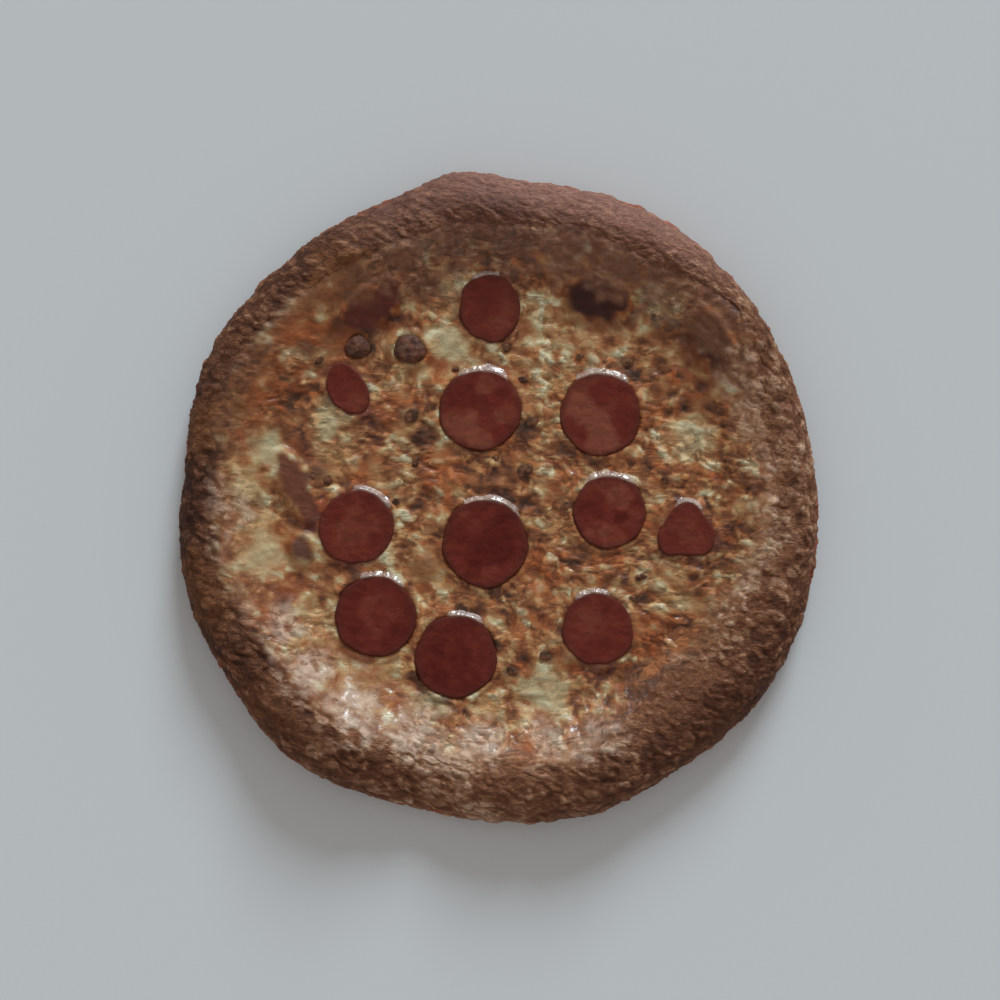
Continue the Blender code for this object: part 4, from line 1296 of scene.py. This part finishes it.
def bedded_level(x, y, strands):
    """Height of the cheese's top: lumps and strands, a low lip where melted cheese rises against
    a topping, and under each topping a bed, or cheese that has run over it."""
    points = flat(x, y)
    from_edge = -beyond_cheese(x, y)
    smooth_level = smooth_cheese_level(x, y)
    lumps = 1.1 * MM * noise(points, 15 * MM, NOISE_SEED + 3)
    lumps += 0.8 * MM * noise(points, 7 * MM, NOISE_SEED + 4)
    level = smooth_level + lumps * smooth_step(from_edge / (14 * MM))
    level += (strands - 0.5) * STRAND_RELIEF * smooth_step(from_edge / (6 * MM) + 0.6)
    for centre_x, centre_y, size, tall in BLISTERS:
        away = np.hypot(x - centre_x * MM, y - centre_y * MM) / (size * MM)
        level += tall * MM * smooth_step(1.4 - 1.2 * away)
    for topping in SLICES + CRUMBS:
        beyond = beyond_edge(topping, x, y)
        near = np.exp(-((np.clip(beyond, 0, None) / SETTLED_REACH) ** 2))
        level += near * 0.35 * (smooth_level - level)
        bearing = np.arctan2(y - topping[2] * MM, x - topping[1] * MM)
        bare = 1.0 - smooth_step(lip_bulge(topping, bearing) / (0.5 * MM))
        level += LIP_HEIGHT * bare * np.exp(-(((beyond - 1.2 * MM) / LIP_WIDTH) ** 2))
    for topping in SLICES + CRUMBS:
        beyond = beyond_edge(topping, x, y)
        height, slope_x, slope_y = BEDS[topping[0]]
        bed = height + slope_x * (x - topping[1] * MM) + slope_y * (y - topping[2] * MM)
        buried = COVERS.get(topping[0], (0.0,))[0] > HALF_BURIED
        bed += run_over(topping, points, beyond) + buried * strands * MM
        start, width = (0.2 * MM, 3.4 * MM) if buried else (-1.7 * MM, 1.7 * MM)
        level = bed + smooth_step((beyond - start) / width) * (level - bed)
    return level


# %% The cheese's piece
def filmed_level(x, y, level, relief):
    """The sheet's height where it thins to a film outside the solid's edge: the dough's own skin
    and relief, plus a rise that turns into a tuck, so that the film sinks into the dough."""
    beyond = beyond_cheese(x, y)
    fall = smooth_step((beyond - 3.5 * MM) / (FILM_REACH - 5.0 * MM))
    rise = FILM_RISE - (FILM_RISE + FILM_TUCK) * fall
    rise += 0.25 * MM * noise(flat(x, y), 5 * MM, 48) * (1.0 - fall)
    rise += (relief - 0.5) * MM * (1.0 - smooth_step((beyond - 2.5 * MM) / (5 * MM)))
    rise -= 0.8 * MM * smooth_step((beyond / FILM_REACH - 0.9) / 0.1)
    film = skin_level(x, y) + skin_lift(x, y, relief) + rise
    return level + smooth_step((beyond + 4 * MM) / (8 * MM)) * (film - level)


# Rings under the sheet: (share of its radius, what they lie on, how far they sink into that).
UNDERSIDE_RINGS = [
    (0.98, skin_level, 2.5 * MM), (0.8, sauce_level, 0.0), (0.4, sauce_level, 0.0),
]


def underside_rings(x, y):
    """Rings under the sheet, from its border towards the middle, on the sauce."""
    bearing, radius = bearing_and_radius(x, y)
    rings = []
    for share, rest, lower in UNDERSIDE_RINGS:
        ring_x, ring_y = at_bearing(bearing, radius * share)
        rings.append(np.stack([ring_x, ring_y, rest(ring_x, ring_y) - lower], 1))
    middle = np.array([[*OUTLINE_CENTRE, sauce_level(*np.array([OUTLINE_CENTRE]).T)[0]]])
    return rings + [middle]


def sheet_flakiness(x, y):
    """Little where the cheese has run smooth, and little over a slice that it has buried."""
    kept = 1.0 - 0.75 * melted(x, y)
    for topping in SLICES:
        if COVERS.get(topping[0], (0.0,))[0] > HALF_BURIED:
            kept *= 0.35 + 0.65 * smooth_step(beyond_edge(topping, x, y) / (3 * MM))
    return kept


def melted_cheese():
    """The cheese's piece: a top sheet, closed by rings that run under it to its middle. It is
    wet in patches of two sizes, and less so at its edge and over a buried slice."""
    share, bearing = disc_from_square(CHEESE_SIDE)
    edge = outline_radius(bearing) - cheese_inset(bearing) + FILM_REACH
    x, y = at_bearing(bearing, edge * share)
    relief, tint = top_relief(np.stack([x, y, skin_level(x, y)], 1))
    level = filmed_level(x, y, bedded_level(x, y, relief), relief)
    points = np.stack([x, y, level], 1)
    border = square_border(CHEESE_SIDE)
    under = underside_rings(x[border], y[border])
    index = np.arange(CHEESE_SIDE**2).reshape(CHEESE_SIDE, CHEESE_SIDE)
    quads = np.stack([index[:-1, :-1], index[1:, :-1], index[1:, 1:], index[:-1, 1:]], -1)
    faces = quads.reshape(-1, 4).tolist()
    first, start = border, len(points)
    for ring in under:
        second = np.arange(start, start + len(ring))
        faces += ring_faces(first, second).tolist()
        first, start = second, start + len(ring)
    below = np.concatenate(under)
    colour = top_colour(points, bearing, relief, tint)
    colour = np.concatenate([colour, np.tile(CHEESE_SCALE[2][1:], (len(below), 1))])
    drops, pools = patchy(points, 4 * MM, 42, -0.1, 0.4), patchy(points, 26 * MM, 41, -0.7, 0.1)
    wetness = 0.1 + 0.9 * drops * pools
    wetness *= 1.0 - 0.7 * smooth_step(beyond_cheese(x, y) / (8 * MM))
    for topping in SLICES:
        if COVERS.get(topping[0], (0.0,))[0] > HALF_BURIED:
            wetness *= 0.2 + 0.8 * smooth_step(beyond_edge(topping, x, y) / (3 * MM))
    flakiness = np.concatenate([sheet_flakiness(x, y), np.ones(len(below))])
    wetness = np.concatenate([wetness, np.zeros(len(below))])
    grain, flakes, crinkle = (1.8 * MM, 0.15), (3.3 * MM, 0.80, 0.65 * MM), (2.4 * MM, 0.20 * MM)
    skin = food_material("melted_skin", grain, flakes, crinkle, (0.6, 0.2), 0.35, SHRED_FLAKES, 0.5)
    points = np.concatenate([points, below])
    stores = (colour, wetness, flakiness)
    piece = mesh_piece("cheese_sheet", points, faces, skin, "melted_cheese", *stores)
    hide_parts("cheese")


melted_cheese()

# %% [markdown]
# ## Pepperoni
#
# A slice is a thin disc of cured meat. The oven curls its edge up a little, melts its fat and
# leaves paler patches on a deep red ground, under a film of oil.

# %% Colours of the slices, and their paler and darker patches
PEPPERONI_RED = (0.154, 0.0225, 0.014)
PEPPERONI_DEEP = (0.090, 0.010, 0.007)
PEPPERONI_PALE = (0.250, 0.074, 0.042)
PEPPERONI_RIM = (0.090, 0.024, 0.017)
SLICE_ROWS = 26
SLICE_POINTS = 128
SLICE_ROUNDING = 0.8 * MM
SLICE_SAG = 0.45 * MM

# Patches on a slice: (slice, x, y, radius in shares of its own size, tone from deep to pale).
SLICE_PATCHES = [
    (5, 0.15, 0.65, 0.25, 0.5), (5, -0.45, 0.35, 0.40, -0.5), (5, -0.50, -0.35, 0.45, 0.7),
    (5, 0.05, -0.70, 0.35, 0.6), (5, 0.65, -0.10, 0.30, 0.4), (5, 0.60, -0.65, 0.25, -0.5),
    (6, 0.10, 0.55, 0.35, -0.4), (6, -0.50, 0.15, 0.35, 0.9), (6, -0.10, -0.15, 0.30, 0.9),
    (6, 0.00, -0.65, 0.40, 0.9), (6, -0.50, -0.40, 0.20, -0.4), (6, 0.60, -0.25, 0.35, -0.4),
    (10, 0.30, 0.40, 0.35, 0.6), (10, 0.30, -0.10, 0.20, -1.0), (10, -0.50, 0.00, 0.30, -0.6),
    (10, 0.10, -0.70, 0.35, 0.6), (10, -0.40, -0.45, 0.30, 0.4), (9, 0.25, -0.10, 0.40, -0.8),
    (9, -0.10, -0.25, 0.35, -0.7), (9, -0.45, 0.40, 0.30, 0.5), (9, 0.15, -0.60, 0.35, 0.3),
    (9, 0.45, 0.50, 0.30, -0.4), (8, 0.00, 0.10, 0.55, 0.5), (8, 0.50, -0.45, 0.30, -0.4),
    (8, -0.60, 0.30, 0.30, -0.5), (12, 0.05, 0.10, 0.50, 0.6), (12, -0.60, -0.20, 0.35, -0.5),
    (12, 0.50, -0.50, 0.35, -0.4), (13, -0.10, 0.10, 0.50, -0.4), (13, 0.50, 0.30, 0.35, 0.4),
    (13, -0.50, -0.50, 0.35, -0.5), (14, -0.30, 0.35, 0.40, 0.5), (14, 0.45, -0.10, 0.40, 0.3),
    (14, 0.00, -0.60, 0.35, -0.4), (1, -0.20, 0.20, 0.50, -0.3), (1, 0.40, -0.30, 0.40, 0.4),
    (11, 0.00, 0.10, 0.50, 0.4), (7, -0.20, 0.20, 0.50, -0.3), (7, 0.20, -0.50, 0.30, 0.5),
]
# How much deeper or paler a whole slice is.
SLICE_TONES = {9: -0.30, 13: -0.45, 12: -0.25, 6: 0.20, 8: 0.05}


# %% Form of a slice
def slice_rows():
    """Rows of (share of the reach, way outwards, height over the bed) from a slice's underside
    over its rounded edge to its top, which sinks towards the middle by a parabola."""
    low, high = LAYER_GAP, LAYER_GAP + SLICE_THICKNESS
    rows = [(0.0, 0.0, low), (0.6, 0.0, low)]
    for turn in np.linspace(-math.pi / 2, math.pi / 2, 9):
        up = (low + high) / 2 + (high - low) / 2 * math.sin(turn)
        rows.append((1.0, SLICE_ROUNDING * (math.cos(turn) - 1.0), up))
    for share in np.linspace(0.95, 0.0, SLICE_ROWS - len(rows)):
        rows.append((share, -SLICE_ROUNDING * share, high - SLICE_SAG * (1.0 - share**2)))
    return np.array(rows)


def slice_surface(topping):
    """Points of a slice by rows and bearings, on the plane of its bed, and each one's share."""
    height, slope_x, slope_y = BEDS[topping[0]]
    bearing = np.linspace(0, 2 * math.pi, SLICE_POINTS, endpoint=False)
    share, outward, up = (column[:, None] for column in slice_rows().T)
    ring = np.stack([np.cos(bearing), np.sin(bearing), 0 * bearing + topping[1]], 1)
    nicks = 0.6 * MM * noise(ring, 0.45, 53) - 0.2 * MM
    radius = (topping_reach(topping, bearing) + nicks) * share + outward
    x, y = radius * np.cos(bearing), radius * np.sin(bearing)
    points = np.stack([x, y, height + slope_x * x + slope_y * y + up], -1)
    points += (topping[1] * MM, topping[2] * MM, 0.0)
    dents = 0.12 * MM * noise(points.reshape(-1, 3), 2.6 * MM, 51).reshape(radius.shape)
    points[:, :, 2] += dents * (share < 1.0) * (up > SLICE_THICKNESS / 2)
    return points, share + 0 * radius


# %% Colour of a slice
def slice_colour(points, shares, topping):
    """Deep red with pale and dark patches, whose borders are soft but angular because they are
    measured from warped points, and browned where cheese ran over the slice."""
    number = int(topping[0][-2:])
    seed = 60 + number
    warp = [2.2 * MM * noise(points, 6 * MM, seed + axis) for axis in (0, 100)]
    x = (points[:, 0] - topping[1] * MM + warp[0]) / (topping[3] * MM)
    y = (points[:, 1] - topping[2] * MM + warp[1]) / (topping[3] * MM)
    value, _ = shards(np.stack([x, y, 0 * x], 1), 0.42, seed)
    tone = 0.35 * noise(points, 5 * MM, seed + 20) + 0.5 * (value - 0.5)
    tone += SLICE_TONES.get(number, 0.0)
    for patched, centre_x, centre_y, radius, strength in SLICE_PATCHES:
        if patched == number:
            away = np.hypot(x - centre_x, y - centre_y) / radius
            tone += strength * smooth_step((1.25 - away) / 0.5)
    colour = mixed(PEPPERONI_RED, PEPPERONI_PALE, np.clip(0.62 * tone, 0, 0.7))
    colour = mixed(colour, PEPPERONI_DEEP, np.clip(-0.8 * tone, 0, 0.8))
    rim = smooth_step((shares + 0.05 * noise(points, 4 * MM, seed + 40) - 0.84) / 0.16)
    colour = mixed(colour, PEPPERONI_RIM, 0.5 * rim)
    cover, shown = COVERS.get(topping[0], (0.0, PEPPERONI_RIM))
    return mixed(colour, shown, cover * (0.6 + 0.4 * patchy(points, 5 * MM, 52, -0.3, 0.3)))


# %% The slices' finish and their pieces
SLICE_TEXTURE = (1.6 * MM, 0.3), (4.0 * MM, 0.30, 0.05 * MM), (1.4 * MM, 0.08 * MM)
SLICE_SKIN = food_material("cured_skin", *SLICE_TEXTURE, (0.5, 0.35), 0.12, MEAT_FLAKES)


def pepperoni_slice(topping):
    """One slice's piece, in place of its solid."""
    points, shares = slice_surface(topping)
    faces = shell_faces(*shares.shape)
    spot, shares = with_poles(points), with_poles(shares)
    colour = slice_colour(spot, shares, topping)
    wetness = patchy(spot, 8 * MM, 71)
    name = f"{topping[0]}_skin"
    faces = [face[::-1] for face in faces]
    piece = mesh_piece(name, spot, faces, SLICE_SKIN, "pepperoni", colour, wetness)
    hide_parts(topping[0])


for topping in SLICES:
    pepperoni_slice(topping)

# %% [markdown]
# ## Beads of melted fat
#
# Fat that melts out of a slice piles up in a wrinkled bead against its far edge, where it sets
# clear and pale; that pale colour is partly a painted highlight. Each bead is a strip that bends
# with the slice's edge: it starts on the slice, falls to the cheese at the slope that glints in a
# low light, and dives under at both ends.

# %% Beads of fat
BEAD_COLUMNS = 90
BEAD_ROWS = 14
BEAD_OVER = 0.7 * MM
BEAD_REACH = 2.8 * MM
BEAD_WRINKLE = 0.50 * MM
# Pale set fat, lightened so that it stands in part for the glint: partly the fat's colour, partly a
# painted highlight.
FAT_PALE_AND_HIGHLIGHT = (0.460, 0.330, 0.280)


def fat_bead(number, centre, half_width, size):
    """Cross-sections along the slice's edge. Across: s = 0 on the slice, 1 on the sheet; the top
    rises 0.3 mm by s = 0.25 and then falls straight. Along: it stands by a step of 1 - |t|."""
    topping = SLICES[number - 1]
    height, slope_x, slope_y = BEDS[topping[0]]
    along = np.linspace(-1, 1, BEAD_COLUMNS)[:, None]
    across = np.linspace(0, 1, BEAD_ROWS)[None, :]
    bearing = np.radians(centre + 1.6 * half_width * along) + 0 * across
    ends = smooth_step((1.0 - np.abs(along)) / 0.45)
    turned = bearing.ravel()
    ragged = noise(np.stack([turned, 0 * turned + number, 0 * turned], 1), 0.3, 94)
    reach = BEAD_REACH * (0.5 + 0.5 * size) * (1.0 + 0.35 * ragged.reshape(bearing.shape))
    radius = topping_reach(topping, bearing) - BEAD_OVER + (BEAD_OVER + reach) * across
    dx, dy = radius * np.cos(bearing), radius * np.sin(bearing)
    x, y = (dx + topping[1] * MM).ravel(), (dy + topping[2] * MM).ravel()
    bed = height + slope_x * dx + slope_y * dy
    top = bed + topping_top(topping) + (0.3 * np.clip(across / 0.25, 0, 1) - 0.15) * MM
    relief, tint = strands_at(x, y)
    sheet = bedded_level(x, y, relief).reshape(bearing.shape)
    spot = np.stack([x, y, top.ravel()], 1)
    value, border = shards(spot, 2.4 * MM, 91)
    folds = BEAD_WRINKLE * ((2 * value - 1) * smooth_step(border / 0.4) + noise(spot, 4.2 * MM, 92))
    fall = np.clip((across - 0.25) / 0.75, 0, 1)
    level = top + fall * (sheet - 0.2 * MM - top)
    level += folds.reshape(top.shape) * np.sin(math.pi * across)
    low = np.minimum(sheet, top) - 0.8 * MM
    level = low + ends * (level - low)
    points = np.stack([dx + topping[1] * MM, dy + topping[2] * MM, level], -1)
    base = points[:, [-1, 0]] - (0.0, 0.0, 0.7 * MM)
    colour = top_colour(points.reshape(-1, 3), bearing.ravel(), relief, tint)
    # The pale set fat is partly the fat's colour and partly a painted highlight.
    pale = 1.15 - (across + 0 * along).ravel() + 0.4 * noise(spot, 2.5 * MM, 93)
    set_fat_and_highlight = smooth_step(pale / 0.5)
    colour = mixed(colour, FAT_PALE_AND_HIGHLIGHT, 0.75 * set_fat_and_highlight).reshape(BEAD_COLUMNS, BEAD_ROWS, 3)
    colour = np.concatenate([colour, colour[:, [-1, 0]]], 1)
    return with_poles(np.concatenate([points, base], 1)), with_poles(colour)


def fat_beads():
    """All the beads as one piece."""
    beads = [fat_bead(*bulge) for bulge in LIP_BULGES]
    one = shell_faces(BEAD_COLUMNS, BEAD_ROWS + 2)
    size = len(beads[0][0])
    starts = [n * size for n in range(len(beads))]
    faces = [[corner + start for corner in face[::-1]] for start in starts for face in one]
    points, colours = (np.concatenate(part) for part in zip(*beads))
    wetness = np.clip(0.75 + 0.5 * noise(points, 3 * MM, 95), 0, 1)
    grain, flakes, crinkle = (1.5 * MM, 0.5), (1.8 * MM, 0.4, 0.25 * MM), (1.2 * MM, 0.12 * MM)
    skin = food_material("fatty_skin", grain, flakes, crinkle, (0.5, 0.2), 0.5, MEAT_FLAKES, 1.0)
    mesh_piece("fat_beads", points, faces, skin, "melted_cheese", colours, wetness)


fat_beads()

# %% [markdown]
# ## Crumbs of browned meat
#
# Each crumb is a rough lump, dark where it caught the heat, with fat and cheese on its crags.

# %% Meat crumbs
CRUMB_DARK = (0.070, 0.030, 0.021)
CRUMB_LIGHT = (0.210, 0.100, 0.066)
CRUMB_RED = (0.160, 0.055, 0.030)
CRUMB_ROWS = 22
CRUMB_POINTS = 64
CRUMB_TALLNESS = 0.68
CRUMB_TEXTURE = (1.2 * MM, 0.6), (1.8 * MM, 0.35, 0.10 * MM), (1.2 * MM, 0.10 * MM)
CRUMB_SKIN = food_material("browned_skin", *CRUMB_TEXTURE, (0.7, 0.45), 0.15)


def melted_into(colour, spot, share):
    """Mixes the sheet's own colour at these spots into a colour."""
    x, y = spot[:, 0], spot[:, 1]
    return mixed(colour, cheese_colour(x, y, *strands_at(x, y)), share)


def meat_crumb(topping):
    """A dome on the topping's outline: radius share = cos(t)^0.7, height = tallness * smaller
    half-width * sin(t), with two sizes of noise on it."""
    height, slope_x, slope_y = BEDS[topping[0]]
    bearing = np.linspace(0, 2 * math.pi, CRUMB_POINTS, endpoint=False)
    small = CRUMB_TALLNESS * min(topping[3], topping[4]) * MM
    turn = np.linspace(0, math.pi / 2, CRUMB_ROWS - 1)
    share = np.concatenate([[0.0], np.maximum(np.cos(turn), 0.0) ** 0.7])[:, None]
    up = np.concatenate([[0.0], small * np.sin(turn)])[:, None]
    dx = topping_reach(topping, bearing) * share * np.cos(bearing)
    dy = topping_reach(topping, bearing) * share * np.sin(bearing)
    level = height + slope_x * dx + slope_y * dy + LAYER_GAP + up
    points = np.stack([dx + topping[1] * MM, dy + topping[2] * MM, level], -1)
    spot = with_poles(points)
    rough = 0.7 * MM * noise(spot, 3.2 * MM, 81) + 0.2 * MM * noise(spot, 1.4 * MM, 82)
    spot[:, 2] += rough * smooth_step(with_poles(up + 0 * dx) / small * 3)
    value, _ = shards(spot, 2.4 * MM, 87)
    light = smooth_step(0.5 * rough / MM + 0.2 + 0.5 * value + 0.35 * noise(spot, 1.3 * MM, 89))
    colour = mixed(mixed(CRUMB_DARK, CRUMB_RED, patchy(spot, 4 * MM, 86)), CRUMB_LIGHT, 0.7 * light)
    low = smooth_step(0.5 - 1.6 * with_poles(up + 0 * dx) / small + 0.6 * noise(spot, 3 * MM, 88))
    colour = melted_into(colour, spot, 0.8 * low)
    faces = [face[::-1] for face in shell_faces(CRUMB_ROWS, CRUMB_POINTS)]
    name = f"{topping[0]}_skin"
    piece = mesh_piece(name, spot, faces, CRUMB_SKIN, "browned_meat", colour, 0.5 * light)
    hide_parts(topping[0])


for topping in CRUMBS:
    meat_crumb(topping)

# %% [markdown]
# ## Browned bits
#
# Small lumps of meat and herb lie half sunk all over the sheet. They share the crumbs' finish.

# %% Browned bits, each one a flattened ball
# Bits seen from above: (x, y, half-length, half-width in mm, turn in degrees).
BROWNED_BITS = [
    (12.0, 12.5, 4.2, 2.7, 20), (15.3, 35.5, 3.4, 2.2, 5), (-1.6, 18.1, 2.2, 1.4, 30),
    (11.5, 55.2, 2.6, 1.4, -10), (61.3, 62.7, 2.2, 2.0, 60), (21.9, -74.0, 2.8, 2.2, 10),
    (6.3, -81.1, 3.0, 2.0, -30), (66.5, -37.4, 2.6, 1.6, 5), (63.7, -47.2, 2.6, 1.4, -10),
    (-83.9, 64.2, 2.6, 1.8, 40), (-80.0, 8.2, 2.6, 2.0, 70), (-87.7, 10.0, 1.8, 1.6, 0),
    (-40.7, 38.3, 3.6, 3.0, 50), (-38.8, 16.7, 2.2, 1.6, 80), (32.0, -4.0, 3.2, 2.0, 15),
    (78.0, 8.0, 2.2, 1.6, -40), (-20.0, 60.0, 1.8, 1.2, 0), (4.0, 70.5, 2.6, 1.8, 70),
    (38.0, 66.0, 1.8, 1.2, 30), (-48.0, -2.0, 2.2, 1.6, 20),
]
BIT_ROWS = 12
BIT_COLUMNS = 24
BIT_DARK = (0.070, 0.032, 0.018)
BIT_RED = (0.200, 0.080, 0.042)


def browned_bit(x, y, half_length, half_width, turn):
    """A flattened ball on the sheet: half-height = a quarter of its half-width, roughened by
    noise."""
    polar = np.linspace(math.pi, 0.0, BIT_ROWS)[:, None]
    around = np.linspace(0, 2 * math.pi, BIT_COLUMNS, endpoint=False)
    own_x = half_length * MM * np.sin(polar) * np.cos(around)
    own_y = half_width * MM * np.sin(polar) * np.sin(around)
    up = 0.25 * half_width * MM * np.cos(polar) + 0 * own_x
    cosine, sine = math.cos(math.radians(turn)), math.sin(math.radians(turn))
    placed_x = own_x * cosine - own_y * sine + x * MM
    placed_y = own_x * sine + own_y * cosine + y * MM
    placed = np.stack([placed_x, placed_y], -1)
    middle = np.array([[x * MM], [y * MM]])
    base = bedded_level(*middle, np.array([0.5]))[0] + 0.25 * MM
    spot = with_poles(np.concatenate([placed, (up + base)[:, :, None]], -1))
    rough = noise(spot, 1.5 * MM, 83)
    spot = spot + rough[:, None] * (0.6 * MM, 0.6 * MM, 0.4 * MM)
    colour = mixed(BIT_DARK, BIT_RED, smooth_step(0.4 + 1.2 * noise(spot, 2.4 * MM, 84)))
    buried = smooth_step(0.4 - (spot[:, 2] - base) / (0.25 * half_width * MM))
    return spot, melted_into(colour, spot, 0.8 * buried)


def browned_bits():
    """All the bits as one piece."""
    bits = [browned_bit(*bit) for bit in BROWNED_BITS]
    size = len(bits[0][0])
    one = shell_faces(BIT_ROWS, BIT_COLUMNS)
    starts = [n * size for n in range(len(bits))]
    faces = [[corner + start for corner in face] for start in starts for face in one]
    points, colours = (np.concatenate(part) for part in zip(*bits))
    wetness = patchy(points, 3 * MM, 85)
    mesh_piece("browned_bits", points, faces, CRUMB_SKIN, "browned_meat", colours, wetness)


browned_bits()

# %% [markdown]
# ## Floor
#
# A plain pale surface, which isn't part of the pizza, catches its shadow.

# %% Floor
FLOOR_HALF = 4.0
FLOOR_DROP = 0.1 * MM
FLOOR_COLOUR = (0.70, 0.71, 0.72)


def plain_floor():
    """A square just under the pizza."""
    corners = [(-1, -1), (1, -1), (1, 1), (-1, 1)]
    mesh = bpy.data.meshes.new("floor")
    points = [(FLOOR_HALF * x, FLOOR_HALF * y, -FLOOR_DROP) for x, y in corners]
    mesh.from_pydata(points, [], [(0, 1, 2, 3)])
    made, shader = new_material("plain_floor", 0.6)
    shader.inputs["Base Color"].default_value = (*FLOOR_COLOUR, 1.0)
    mesh.materials.append(made)
    floor = bpy.data.objects.new("floor", mesh)
    bpy.context.scene.collection.objects.link(floor)


plain_floor()
